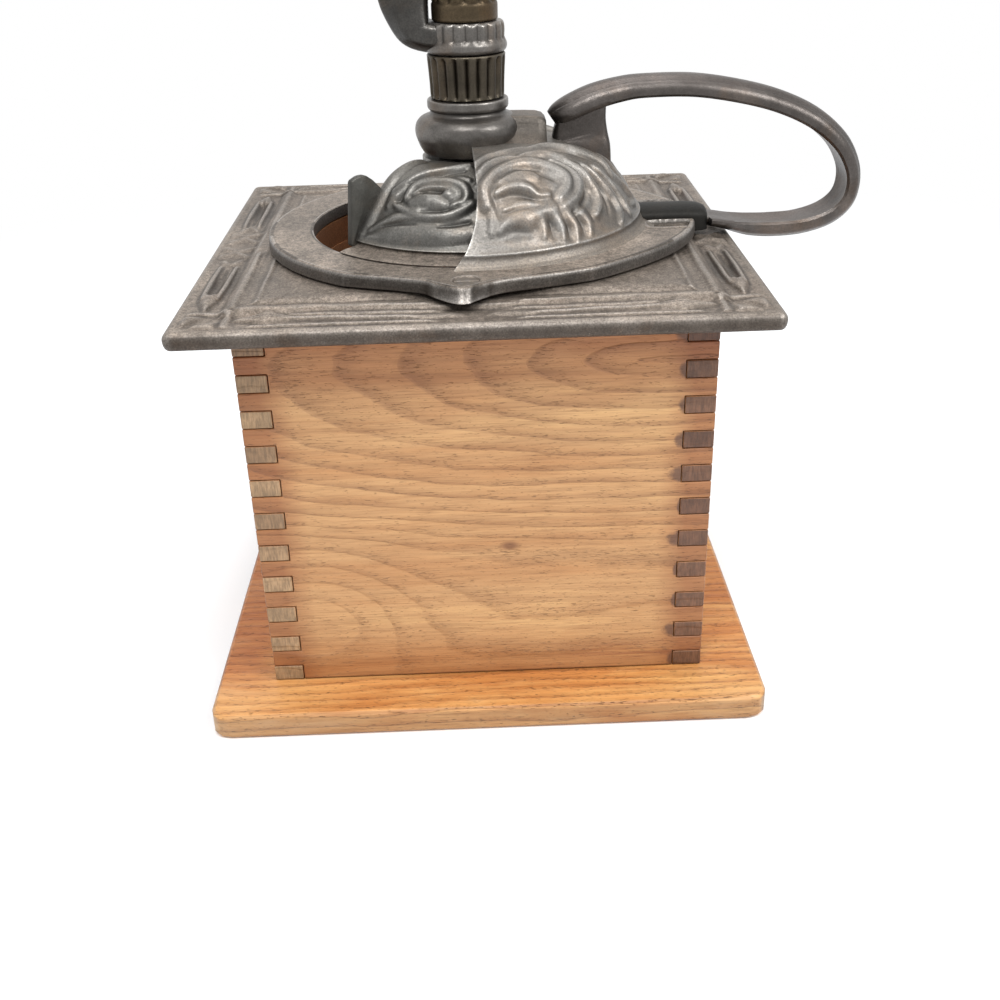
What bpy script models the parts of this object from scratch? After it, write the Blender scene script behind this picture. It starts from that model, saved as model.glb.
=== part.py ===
"""Manual coffee grinder: a box jointed wooden mill with a cast iron top.

The origin is the centre of the base board's underside, on the axis of the
crank. Z is up, X points to the side handle, and the drawer opens towards +Y.
All sizes are in metres. Each object is one physical piece.
"""

import math

import bmesh
import bpy
import numpy as np

# Fits shared by all pieces
SEAT_GAP = 0.0003
RUNNING_GAP = 0.0005
CUT_OVERRUN = 0.004
SMOOTH_ANGLE = math.radians(32)
SMALL_ROUND = 8
MEDIUM_ROUND = 16
LARGE_ROUND = 28
DOME_COLUMNS = 16
NECK_COLUMNS = 20
FLUTE_SAMPLES = 3
ROUND_STEP = math.radians(10)
ARC_POINTS = 7
CORNER_STEPS = 3
LOBE_STEPS = 9

# Base board
BASE_SIDE = 0.1995
BASE_THICKNESS = 0.0098
BASE_CORNER_RADIUS = 0.007
BASE_EDGE_EASE = 0.0014

# Box, with square fingers along its four corners
BOX_SIDE = 0.157
BOX_HEIGHT = 0.1397
BOARD_THICKNESS = 0.0103
FINGER = 0.00635
BOX_INSIDE = BOX_SIDE / 2 - BOARD_THICKNESS

# Drawer and its way in
DRAWER_SIDE_MARGIN = 0.0265
DRAWER_OPENING_WIDTH = BOX_SIDE - 2 * DRAWER_SIDE_MARGIN
DRAWER_OPENING_HEIGHT = 0.0515
DRAWER_SIDE_THICKNESS = 0.007
DRAWER_SIDE_DROP = 0.005
DRAWER_BOTTOM_THICKNESS = 0.004
GUIDE_WIDTH = 0.009
GUIDE_HEIGHT = 0.015
DRAWER_KNOB_LENGTH = 0.021
DRAWER_KNOB_RADIUS = 0.0105
DRAWER_KNOB_SHARES = [(0.72, 0.0), (0.74, 0.08), (0.48, 0.2), (0.42, 0.38), (0.62, 0.52),
                      (0.94, 0.64), (1.0, 0.76), (0.92, 0.89), (0.6, 0.98), (0.2, 1.0)]

# Top plate
PLATE_OVERHANG = 0.017
PLATE_SIDE = BOX_SIDE + 2 * PLATE_OVERHANG
PLATE_CORNER_RADIUS = 0.004
PLATE_WEB = 0.0032
PLATE_LIP_DROP = 0.0044
PLATE_BEAD_HEIGHT = 0.0058
PLATE_BEAD_WIDTH = 0.005
PLATE_BORDER_WIDTH = 0.0155
PLATE_LINE_WIDTH = 0.0014
PLATE_LINE_HEIGHT = 0.0006
PLATE_FIELD_RISE = 0.0012
PLATE_BEAD_SHARES = [(1.0, 0.94), (0.8, 0.93), (0.5, 1.0), (0.2, 0.92), (0.03, 0.72), (0.0, 0.45),
                     (0.1, 0.14), (0.35, 0.0), (1.0, 0.0)]

# Hopper bowl with the burr housing under it
HOPPER_INSET = 0.01
HOPPER_RADIUS = BOX_INSIDE - HOPPER_INSET
BOWL_WALL = 0.0032
BOWL_DEPTH = 0.077
BOWL_FLANGE_WIDTH = 0.0038
BOWL_FLANGE_THICKNESS = 0.0027
BOSS_WALL = 0.0018
FUNNEL_SHARES = [(1.0, 0.1), (0.924, 0.27), (0.739, 0.42), (0.434, 0.55), (0.151, 0.64)]
BOSS_DEPTH = 0.0065

# Canopy casting: ring, fixed half dome, neck, lug and handle socket
RING_WIDTH = 0.0163
RING_RADIUS = HOPPER_RADIUS + RING_WIDTH
RING_THICKNESS = 0.0047
RING_EDGE_EASE = 0.0011
LOBE_RISE = 0.0078
LOBE_TURN = math.radians(-2)
LOBE_HALF_TURN = math.radians(17)
SHOULDER_RISE = 0.0075
DOME_FOOT_WIDTH = 0.0053
DOME_FOOT_RADIUS = HOPPER_RADIUS + DOME_FOOT_WIDTH
DOME_HEIGHT = 0.0305
DOME_WALL = 0.0024
DOME_SINK = 0.0008
NECK_RADIUS = 0.0192
NECK_HEIGHT = 0.0186
PIVOT_RADIUS = 0.011
PIVOT_LENGTH = 0.006
LUG_REACH = 0.0274
LUG_WIDTH = 0.014
LUG_RISE = 0.0075
SOCKET_OUTSET = 0.0018
SOCKET_LENGTH = 0.0265
SOCKET_START = HOPPER_RADIUS + SOCKET_OUTSET
SOCKET_END = SOCKET_START + SOCKET_LENGTH
SOCKET_WIDTH = 0.0165
SOCKET_HEIGHT = 0.0085
SOCKET_CROWN = 0.0035
SOCKET_RECESS_DEPTH = 0.0012
SOCKET_RECESS_WIDTH = 0.0042
DOME_CURVE_SHARES = [(0.22, 1.0), (0.33, 0.995), (0.472, 0.967), (0.58, 0.92), (0.66, 0.86),
                     (0.728, 0.79), (0.772, 0.72), (0.813, 0.603), (0.866, 0.449), (0.92, 0.295)]
DOME_FOOT_SHARES = [(0.958, 0.185), (0.974, 0.145), (0.966, 0.105), (0.972, 0.065),
                    (0.986, 0.028), (1.0, 0.0)]
NECK_SHARES = [(0.84, 0.0), (0.92, 0.14), (0.985, 0.32), (1.0, 0.45), (0.97, 0.57), (0.89, 0.66),
               (0.72, 0.72), (0.69, 0.79), (0.75, 0.83), (0.75, 0.97), (0.73, 1.0)]
SOCKET_STATION_SHARES = [(0.0, 1.0, 1.0), (0.72, 1.0, 1.0), (0.88, 0.93, 0.9), (0.97, 0.8, 0.68),
                         (1.0, 0.66, 0.45)]

# Shutter: the turning half of the dome, with its thumb fin
SHUTTER_WALL = 0.002
SHUTTER_FLANGE_THICKNESS = 0.0022
SHUTTER_HUB_WIDTH = 0.0055
SHUTTER_HUB_THICKNESS = 0.0038
SHUTTER_START = math.radians(-140)
SHUTTER_SWEEP = math.radians(180)
FIN_THICKNESS = 0.0023
FIN_HEIGHT = 0.0232
FIN_INSET = 0.0037
FIN_REACH = HOPPER_RADIUS - FIN_INSET
SHUTTER_CURVE_SHARES = [(0.359, 0.826), (0.417, 0.833), (0.488, 0.797), (0.561, 0.725),
                        (0.624, 0.616), (0.687, 0.459), (0.778, 0.22)]
SHUTTER_FOOT_SHARE = 0.84
FIN_SHARES = [(1.0, -0.95), (0.962, 0.0), (0.905, 0.05), (0.855, 0.05), (0.8, -0.04),
              (0.71, -0.26), (0.78, -0.45), (0.945, -0.95)]

# Burrs, spindle and lower bearing
SPINDLE_RADIUS = 0.00475
JOURNAL_RADIUS = 0.004
SQUARE_HALF = 0.0032
SPINDLE_TOP_RADIUS = 0.0031
BURR_HEIGHT = 0.0217
BURR_RING_RADIUS = 0.0297
BURR_LIP = 0.0026
BURR_GAP = 0.0006
BURR_MOUTH_RADIUS = 0.0265
BURR_EXIT_RADIUS = 0.0244
BURR_THROAT_RADIUS = 0.0227
BURR_GRIND_HEIGHT = 0.0085
BURR_HUB_RADIUS = 0.0098
BURR_HUB_HEIGHT = 0.0055
BURR_FOOT_LIFT = 0.0012
TOOTH_SHARES = [0.0, 0.0, 0.8, 1.0, 0.6]
OUTER_TEETH = 12
INNER_TEETH = 10
OUTER_TOOTH_DEPTH = 0.0017
INNER_TOOTH_DEPTH = 0.0024
OUTER_TWIST = math.radians(26)
INNER_TWIST = math.radians(-74)
PIN_RADIUS = 0.0014
BURR_TRAVEL = 0.00064
BRIDGE_THICKNESS = 0.0045
BRIDGE_BAR_WIDTH = 0.012
BRIDGE_BOSS_RADIUS = 0.0085
BRIDGE_BOSS_LENGTH = 0.0105
EAR_REACH = 0.0385
EAR_RADIUS = 0.0058
EAR_HEIGHT = 0.009
BRIDGE_SCREW_RADIUS = 0.0022

# Regulator nut, crank and knob
NUT_FOOT_RADIUS = 0.0126
NUT_HEAD_RADIUS = 0.0137
NUT_HEIGHT = 0.0146
NUT_FLUTES = 18
NUT_FLUTE_DEPTH = 0.0009
HUB_RADIUS = 0.0137
HUB_HEIGHT = 0.0101
HUB_FLUTES = 16
HUB_FLUTE_SAMPLES = 2
HUB_FLUTE_DEPTH = 0.0005
CRANK_REACH = 0.118
CRANK_RISE = 0.0565
KNOB_BOSS_RADIUS = 0.0092
KNOB_BOSS_HEIGHT = 0.0085
CAP_RADIUS = 0.0114
CAP_COLLAR_HEIGHT = 0.0058
CAP_HEIGHT = 0.0245
SPINDLE_TIP_SHARE = 0.45
CAP_LOBES = 12
CAP_LOBE_DEPTH = 0.0011
KNOB_LENGTH = 0.042
KNOB_RADIUS = 0.0148
KNOB_PIN_RADIUS = 0.0029
KNOB_PIN_HEAD_RADIUS = 0.0052
KNOB_PIN_HEAD_HEIGHT = 0.0022
ARM_OUTER_SHARES = [(0.02, 0.0), (0.075, 0.0), (0.127, 0.011), (0.173, 0.045), (0.205, 0.108),
                    (0.238, 0.24), (0.254, 0.355), (0.277, 0.505), (0.322, 0.66), (0.405, 0.775),
                    (0.53, 0.838), (0.68, 0.865), (0.84, 0.872), (0.95, 0.872)]
ARM_INNER_SHARES = [(0.02, 0.177), (0.05, 0.177), (0.08, 0.177), (0.103, 0.185), (0.105, 0.2),
                    (0.105, 0.27), (0.105, 0.36), (0.122, 0.54), (0.17, 0.73), (0.262, 0.885),
                    (0.395, 0.975), (0.55, 1.0), (0.74, 0.995), (0.95, 0.98)]
ARM_DEPTH_SHARES = [0.72, 0.72, 0.7, 0.66, 0.62, 0.56, 0.5, 0.46, 0.43, 0.41, 0.4, 0.38, 0.37, 0.37]
ARM_SECTION_SHARES = [(0.0, 0.35), (0.0, -0.35), (0.3, -1.0), (0.88, -1.0), (1.0, -0.72),
                      (1.0, 0.72), (0.88, 1.0), (0.3, 1.0)]
KNOB_SHARES = [(0.6, 0.0), (0.66, 0.03), (0.66, 0.09), (0.5, 0.14), (0.52, 0.24), (0.68, 0.42),
               (0.88, 0.6), (0.99, 0.74), (1.0, 0.82), (0.9, 0.92), (0.68, 0.98), (0.5, 1.0)]
CAP_CROWN_SHARES = [(1.03, 0.06, 1.0), (1.04, 0.34, 1.0), (0.7, 0.54, 0.0), (0.72, 0.72, 0.0),
                    (0.62, 0.88, 0.0), (0.3, 1.0, 0.0)]

# Side handle
HANDLE_WIDTH = 0.016
HANDLE_THICKNESS = 0.0071
HANDLE_START = 0.0295
HANDLE_OVERHANG = 0.0531
HANDLE_REACH = SOCKET_END + HANDLE_OVERHANG
HANDLE_SINK = 0.00105
HANDLE_RISE = 0.0526
HANDLE_STEP = 0.0105
TONGUE_RISE_SHARE = 0.077
TONGUE_WIDTH_SHARE = 0.59
TONGUE_THICKNESS_SHARE = 0.45
MOUTH_SHARE = (SOCKET_END + 2 * SEAT_GAP - HANDLE_START) / (HANDLE_REACH - HANDLE_START)
HANDLE_PATH_SHARES = [(0.0, 0.875, 0.45), (0.059, 0.924, 0.64), (0.136, 0.968, 0.85),
                      (0.213, 0.99, 0.96), (0.295, 1.0, 1.0), (0.459, 0.99, 1.0),
                      (0.622, 0.933, 1.0), (0.749, 0.856, 1.0), (0.858, 0.745, 1.0),
                      (0.945, 0.593, 0.97), (0.991, 0.428, 0.93), (1.0, 0.285, 0.92),
                      (0.981, 0.163, 0.95), (0.926, 0.068, 0.98), (0.84, 0.013, 0.97),
                      (0.749, 0.0, 0.97), (MOUTH_SHARE + 0.154, 0.005, 0.93),
                      (MOUTH_SHARE + 0.105, 0.022, 0.76), (MOUTH_SHARE + 0.072, 0.033, 0.62),
                      (MOUTH_SHARE + 0.036, 0.045, 0.6), (MOUTH_SHARE + 0.006, 0.07, 0.52),
                      (MOUTH_SHARE, TONGUE_RISE_SHARE, TONGUE_THICKNESS_SHARE),
                      (MOUTH_SHARE - 0.137, TONGUE_RISE_SHARE, TONGUE_THICKNESS_SHARE)]
HANDLE_SECTION_SHARES = [(-0.92, -1.0), (0.92, -1.0), (1.0, -0.7), (1.0, -0.3), (0.78, 0.45),
                         (0.3, 1.0), (-0.3, 1.0), (-0.78, 0.45), (-1.0, -0.3), (-1.0, -0.7)]
FOOT_STATION_SHARES = [(1.0, 0.16, 0.88, 0.74), (0.86, 0.06, 0.9, 0.7), (0.72, 0.02, 0.9, 0.7),
                       (0.58, 0.0, 0.93, 0.78), (0.4, 0.0, 0.98, 0.95), (0.0, 0.0, 1.0, 1.0)]
FOOT_LENGTH = 0.0215
FOOT_WIDTH = 0.013
HANDLE_SCREW_INSET = 0.0082
HANDLE_SCREW_RADIUS = 0.0021
HANDLE_SCREW_LENGTH = 0.011

# Wood screws
WOOD_SCREW_RADIUS = 0.0023
WOOD_SCREW_HEAD_RADIUS = 0.0045
WOOD_SCREW_HEAD_HEIGHT = 0.0026
CANOPY_SCREW_LENGTH = 0.032
BASE_SCREW_LENGTH = 0.028
BASE_SCREW_SPREAD = 0.045
KNOB_SCREW_LENGTH = 0.023
SLOT_WIDTH = 0.0011
SLOT_DEPTH = 0.001

# Heights worked out from the sizes above
BOX_FLOOR = BASE_THICKNESS + SEAT_GAP
BOX_TOP = BASE_THICKNESS + BOX_HEIGHT
BOARD_MIDDLE = BOX_SIDE / 2 - BOARD_THICKNESS / 2
PLATE_SEAT = BOX_TOP + SEAT_GAP
PLATE_TOP = PLATE_SEAT + PLATE_WEB
HANDLE_LOW = PLATE_TOP - HANDLE_SINK
RING_BOTTOM = PLATE_TOP + SEAT_GAP
RING_TOP = RING_BOTTOM + RING_THICKNESS
DOME_TOP = RING_TOP + DOME_HEIGHT
BOWL_RADIUS = HOPPER_RADIUS + BOWL_WALL
BOWL_FLANGE_RADIUS = BOWL_RADIUS + BOWL_FLANGE_WIDTH
BOWL_FLOOR = PLATE_TOP - BOWL_DEPTH
PIVOT_TOP = DOME_TOP - DOME_WALL * 2.2
NECK_TOP = PIVOT_TOP + NECK_HEIGHT
SPINDLE_BORE = SPINDLE_RADIUS + SEAT_GAP
NUT_BOTTOM = NECK_TOP + SEAT_GAP
NUT_TOP = NUT_BOTTOM + NUT_HEIGHT
HUB_BOTTOM = NUT_TOP + SEAT_GAP
HUB_TOP = HUB_BOTTOM + HUB_HEIGHT
CAP_BOTTOM = HUB_TOP + SEAT_GAP
BRIDGE_TOP = BOWL_FLOOR - SEAT_GAP
BRIDGE_BOTTOM = BRIDGE_TOP - BRIDGE_THICKNESS
JOURNAL_BOTTOM = BRIDGE_TOP - BRIDGE_BOSS_LENGTH
BURR_FLOOR = BOWL_FLOOR + SEAT_GAP
INNER_BURR_FLOOR = BRIDGE_TOP + BURR_FOOT_LIFT
KNOB_BOSS_TOP = HUB_BOTTOM + CRANK_RISE
KNOB_BOSS_BOTTOM = KNOB_BOSS_TOP - KNOB_BOSS_HEIGHT


def finish(name, colour, roughness, metallic):
    """One material of its own for a piece."""
    material = bpy.data.materials.new(name)
    material.use_nodes = True
    shader = material.node_tree.nodes["Principled BSDF"]
    shader.inputs["Base Color"].default_value = (*colour, 1.0)
    shader.inputs["Roughness"].default_value = roughness
    shader.inputs["Metallic"].default_value = metallic
    material.diffuse_color = (*colour, 1.0)
    return material


def cast_iron(name):
    return finish(name, (0.085, 0.075, 0.067), 0.45, 0.85)


def steel(name):
    return finish(name, (0.30, 0.28, 0.26), 0.38, 1.0)


def box_wood(name):
    return finish(name, (0.42, 0.22, 0.10), 0.5, 0.0)


def oak(name):
    return finish(name, (0.50, 0.25, 0.09), 0.45, 0.0)


def add_piece(name, mesh, material, carrier=None, place=(0, 0, 0)):
    """Put one mesh in the scene as a named piece with its own material."""
    mesh.name = name
    mesh.materials.append(material)
    mesh.shade_smooth()
    mesh.set_sharp_from_angle(angle=SMOOTH_ANGLE)
    piece = bpy.data.objects.new(name, mesh)
    bpy.context.scene.collection.objects.link(piece)
    piece.location = place
    piece.parent = carrier
    return piece


def add_axis(name, place=(0, 0, 0), carrier=None):
    """An empty on a joint's axis, which carries the pieces that turn with it."""
    axis = bpy.data.objects.new(name, None)
    bpy.context.scene.collection.objects.link(axis)
    axis.location = place
    axis.parent = carrier
    axis.empty_display_size = BOARD_THICKNESS
    return axis


def combine(piece, mesh, operation, label, place=(0, 0, 0)):
    """Join or cut a piece with a hidden tool mesh, kept live as a modifier."""
    tool = bpy.data.objects.new(piece.name + "_" + label, mesh)
    bpy.context.scene.collection.objects.link(tool)
    tool.hide_render = True
    tool.display_type = "WIRE"
    tool.location = place
    tool.parent = piece.parent
    step = piece.modifiers.new(label, "BOOLEAN")
    step.operation = operation
    step.solver = "EXACT"
    step.object = tool


def join(piece, mesh, label, place=(0, 0, 0)):
    combine(piece, mesh, "UNION", label, place)


def cut(piece, mesh, label, place=(0, 0, 0)):
    combine(piece, mesh, "DIFFERENCE", label, place)


def loft(rings, closed=False):
    """Skin equal rings of points one after another; open ends get caps."""
    shape = bmesh.new()
    rows = [[shape.verts.new(point) for point in ring] for ring in rings]
    pairs = list(zip(rows, rows[1:]))
    if closed:
        pairs.append((rows[-1], rows[0]))
    for low, high in pairs:
        for i, vertex in enumerate(low):
            j = (i + 1) % len(low)
            shape.faces.new((vertex, low[j], high[j], high[i]))
    if not closed:
        shape.faces.new(rows[0])
        shape.faces.new(rows[-1])
    bmesh.ops.recalc_face_normals(shape, faces=shape.faces)
    mesh = bpy.data.meshes.new("shape")
    shape.to_mesh(mesh)
    shape.free()
    return mesh


def circle(radius, height, count):
    """A level ring of points round the Z axis."""
    turns = [2 * math.pi * i / count for i in range(count)]
    return [(radius * math.cos(a), radius * math.sin(a), height) for a in turns]


def turned(profile, count):
    """A solid turned from (radius, height) points, from one end to the other."""
    return loft([circle(radius, height, count) for radius, height in profile])


def turned_ring(profile, count):
    """A bored solid turned from a closed outline of (radius, height) points."""
    return loft([circle(radius, height, count) for radius, height in profile], True)


def cylinder(radius, low, high, count):
    return turned([(radius, low), (radius, high)], count)


def sector(profile, start, sweep, count, edge_shift=None):
    """Part of a turned ring: the closed outline is carried round an arc.

    edge_shift gives for a height how far the free edges move on round the axis.
    """
    rings = []
    for i in range(count + 1):
        share = i / count
        ring = []
        for radius, height in profile:
            shift = edge_shift(height) if edge_shift else 0
            turn = start - shift + (sweep + 2 * shift) * share
            ring.append((radius * math.cos(turn), radius * math.sin(turn), height))
        rings.append(ring)
    return loft(rings)


def prism(outline, low, high, along="Z"):
    """An outline carried straight along one axis from low to high."""
    def placed(point, level):
        u, v = point
        return {"X": (level, u, v), "Y": (u, level, v), "Z": (u, v, level)}[along]
    return loft([[placed(point, level) for point in outline] for level in (low, high)])


def block(low, high):
    """A plain block between two corners."""
    outline = [(low[0], low[1]), (high[0], low[1]), (high[0], high[1]), (low[0], high[1])]
    return prism(outline, low[2], high[2])


def rounded_square(half, radius, steps):
    """Outline of a square with round corners, counter-clockwise."""
    points = []
    for corner in range(4):
        middle = math.pi / 4 + corner * math.pi / 2
        side_x = math.copysign(half - radius, math.cos(middle))
        side_y = math.copysign(half - radius, math.sin(middle))
        for i in range(steps + 1):
            turn = corner * math.pi / 2 + math.pi / 2 * i / steps
            points.append((side_x + radius * math.cos(turn), side_y + radius * math.sin(turn)))
    return points


def offset_curve(points, distance):
    """Move a (radius, height) curve to its right hand side by a distance."""
    line = np.array(points)
    steps = np.diff(line, axis=0)
    normals = np.stack([steps[:, 1], -steps[:, 0]], axis=1)
    normals /= np.linalg.norm(normals, axis=1)[:, None]
    at_points = np.vstack([normals[:1], normals[:-1] + normals[1:], normals[-1:]])
    at_points /= np.linalg.norm(at_points, axis=1)[:, None]
    return [tuple(point) for point in line + at_points * distance]


def smooth_path(points, longest):
    """A smooth curve through the points, with no span longer than asked."""
    line = np.array(points, dtype=float)
    padded = np.vstack([2 * line[0] - line[1], line, 2 * line[-1] - line[-2]])
    smooth = []
    for k in range(len(line) - 1):
        p0, p1, p2, p3 = padded[k:k + 4]
        parts = math.ceil(np.linalg.norm((p2 - p1)[:2]) / longest)
        for t in np.linspace(0, 1, parts, endpoint=False):
            smooth.append((2 * p1 + (p2 - p0) * t + (2 * p0 - 5 * p1 + 4 * p2 - p3) * t ** 2
                           + (3 * p1 - 3 * p2 + p3 - p0) * t ** 3) / 2)
    smooth.append(line[-1])
    return np.array(smooth)


def slotted_screw(name, material, head_radius, head_height, radius, length, place,
                  upward=True, carrier=None, count=SMALL_ROUND):
    """A countersunk screw whose flat head ends at place; upward heads face +Z."""
    side = 1 if upward else -1
    profile = [(radius * 0.35, -side * length), (radius, -side * (length - 2 * radius)),
               (radius, -side * head_height), (head_radius, -side * SLOT_WIDTH / 4),
               (head_radius, 0)]
    screw = add_piece(name, turned(profile, count), material, carrier, place)
    slot = block((-head_radius * 2, -SLOT_WIDTH / 2, -SLOT_DEPTH),
                 (head_radius * 2, SLOT_WIDTH / 2, SLOT_DEPTH))
    cut(screw, slot, "slot", place)
    return screw


def screw_hole(head_radius, head_height, radius, length, upward=True):
    """The countersunk hole that slotted_screw fits, with a seat gap all round."""
    side = 1 if upward else -1
    gap = SEAT_GAP
    profile = [(radius + gap, -side * (length + gap)), (radius + gap, -side * (head_height + gap)),
               (head_radius + gap, -side * gap), (head_radius + gap, side * CUT_OVERRUN)]
    return turned(profile, SMALL_ROUND)


def make_base():
    outline = rounded_square(BASE_SIDE / 2, BASE_CORNER_RADIUS, CORNER_STEPS)
    base = add_piece("base_board", prism(outline, 0, BASE_THICKNESS), oak("base_board"))
    ease = base.modifiers.new("eased_edges", "BEVEL")
    ease.width = BASE_EDGE_EASE
    ease.segments = 1
    ease.limit_method = "ANGLE"
    ease.angle_limit = math.radians(60)
    return base


def fingered_edge(first_finger):
    """Points (inset, height) up one board edge; the fingers alternate."""
    reach = BOARD_THICKNESS + SEAT_GAP
    count = math.ceil(BOX_HEIGHT / FINGER - 0.01)
    points = []
    for slot in range(count):
        stands = (slot % 2 == 0) == first_finger
        trim = SEAT_GAP / 2 if stands else -SEAT_GAP / 2
        low = BOX_FLOOR if slot == 0 else BASE_THICKNESS + slot * FINGER + trim
        high = BOX_TOP if slot == count - 1 else BASE_THICKNESS + (slot + 1) * FINGER - trim
        inset = 0 if stands else reach
        points += [(inset, low), (inset, high)]
    return points


def board_outline(first_finger, opening=None):
    """A board's outline with fingers up both edges and an optional way in below."""
    edge = fingered_edge(first_finger)
    right = [(BOX_SIDE / 2 - inset, height) for inset, height in edge]
    left = [(-x, height) for x, height in reversed(right)]
    outline = right + left
    if opening:
        half, top = opening
        outline += [(-half, BOX_FLOOR), (-half, top), (half, top), (half, BOX_FLOOR)]
    return outline


def make_box():
    """Four boards; the side boards' fingers are the lowest at each corner."""
    outer = BOX_SIDE / 2
    way_in = (DRAWER_OPENING_WIDTH / 2, BOX_FLOOR + DRAWER_OPENING_HEIGHT)
    front = add_piece("box_front", prism(board_outline(False), -outer, -BOX_INSIDE, "Y"),
                      box_wood("box_front"))
    back = add_piece("box_back", prism(board_outline(False, way_in), BOX_INSIDE, outer, "Y"),
                     box_wood("box_back"))
    left = add_piece("box_left", prism(board_outline(True), -outer, -BOX_INSIDE, "X"),
                     box_wood("box_left"))
    right = add_piece("box_right", prism(board_outline(True), BOX_INSIDE, outer, "X"),
                      box_wood("box_right"))
    return front, back, left, right


def make_base_screws(base, left, right):
    """Four screws from under the base board into the two side boards."""
    hole = screw_hole(WOOD_SCREW_HEAD_RADIUS, WOOD_SCREW_HEAD_HEIGHT, WOOD_SCREW_RADIUS,
                      BASE_SCREW_LENGTH, upward=False)
    spots = [(-1, -1, left), (-1, 1, left), (1, -1, right), (1, 1, right)]
    for number, (side_x, side_y, board) in enumerate(spots, start=1):
        place = (side_x * BOARD_MIDDLE, side_y * BASE_SCREW_SPREAD, SEAT_GAP)
        label = "screw_hole_%d" % number
        cut(base, hole, label, place)
        cut(board, hole, label, place)
        slotted_screw("base_screw_%d" % number, steel("base_screw_%d" % number),
                      WOOD_SCREW_HEAD_RADIUS, WOOD_SCREW_HEAD_HEIGHT, WOOD_SCREW_RADIUS,
                      BASE_SCREW_LENGTH, place, upward=False)


def make_guides():
    """Two strips on the base board that guide the drawer's sides."""
    inner = DRAWER_OPENING_WIDTH / 2 - SEAT_GAP
    deep = BOX_INSIDE - SEAT_GAP
    low, high = BOX_FLOOR, BOX_FLOOR + GUIDE_HEIGHT
    add_piece("drawer_guide_left",
              block((-inner - GUIDE_WIDTH, -deep, low), (-inner, deep, high)),
              box_wood("drawer_guide_left"))
    add_piece("drawer_guide_right",
              block((inner, -deep, low), (inner + GUIDE_WIDTH, deep, high)),
              box_wood("drawer_guide_right"))


def make_drawer():
    """The drawer: inset front, two sides, back, bottom, knob and its screw."""
    runner = add_axis("drawer_runner", (0, BOX_SIDE / 2, BOX_FLOOR))
    outer = BOX_SIDE / 2

    def part(name, low, high):
        shift = np.array((0, outer, BOX_FLOOR))
        mesh = block(tuple(np.array(low) - shift), tuple(np.array(high) - shift))
        return add_piece(name, mesh, box_wood(name), runner)

    half = DRAWER_OPENING_WIDTH / 2 - 2 * SEAT_GAP
    floor = BOX_FLOOR + SEAT_GAP
    front_top = BOX_FLOOR + DRAWER_OPENING_HEIGHT - RUNNING_GAP
    side_top = front_top - DRAWER_SIDE_DROP
    face_back = outer - BOARD_THICKNESS
    rear = -BOX_INSIDE + RUNNING_GAP
    side_half = half - RUNNING_GAP
    inner = side_half - DRAWER_SIDE_THICKNESS
    front = part("drawer_front", (-half, face_back, floor), (half, outer, front_top))
    part("drawer_side_left", (-side_half, rear, floor), (-inner, face_back - SEAT_GAP, side_top))
    part("drawer_side_right", (inner, rear, floor), (side_half, face_back - SEAT_GAP, side_top))
    between = inner - SEAT_GAP
    part("drawer_back", (-between, rear, floor),
         (between, rear + DRAWER_SIDE_THICKNESS, side_top))
    part("drawer_bottom", (-between, rear + DRAWER_SIDE_THICKNESS + SEAT_GAP, floor),
         (between, face_back - SEAT_GAP, floor + DRAWER_BOTTOM_THICKNESS))

    knob_height = DRAWER_OPENING_HEIGHT / 2
    profile = [(r * DRAWER_KNOB_RADIUS, h * DRAWER_KNOB_LENGTH) for r, h in DRAWER_KNOB_SHARES]
    towards_y = (-math.pi / 2, 0, 0)
    knob = add_piece("drawer_knob", turned(profile, MEDIUM_ROUND),
                     finish("drawer_knob", (0.16, 0.09, 0.05), 0.4, 0.0), runner,
                     (0, SEAT_GAP, knob_height))
    knob.rotation_euler = towards_y
    bore = cylinder(WOOD_SCREW_RADIUS + SEAT_GAP, -BOARD_THICKNESS - CUT_OVERRUN,
                    KNOB_SCREW_LENGTH - BOARD_THICKNESS, SMALL_ROUND)
    for piece in (front, knob):
        cut(piece, bore, "knob_screw_hole", (0, 0, knob_height))
        piece.modifiers["knob_screw_hole"].object.rotation_euler = towards_y
    head = WOOD_SCREW_HEAD_HEIGHT
    radius = WOOD_SCREW_RADIUS
    seat = -BOARD_THICKNESS - SEAT_GAP
    tip = KNOB_SCREW_LENGTH - BOARD_THICKNESS - 2 * SEAT_GAP
    head_radius = WOOD_SCREW_HEAD_RADIUS
    screw_profile = [(head_radius * 0.6, seat - head), (head_radius, seat - head / 2),
                     (head_radius, seat), (radius, seat), (radius, tip - radius),
                     (radius / 3, tip)]
    screw = add_piece("drawer_knob_screw", turned(screw_profile, SMALL_ROUND),
                      steel("drawer_knob_screw"), runner, (0, 0, knob_height))
    screw.rotation_euler = towards_y


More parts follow.
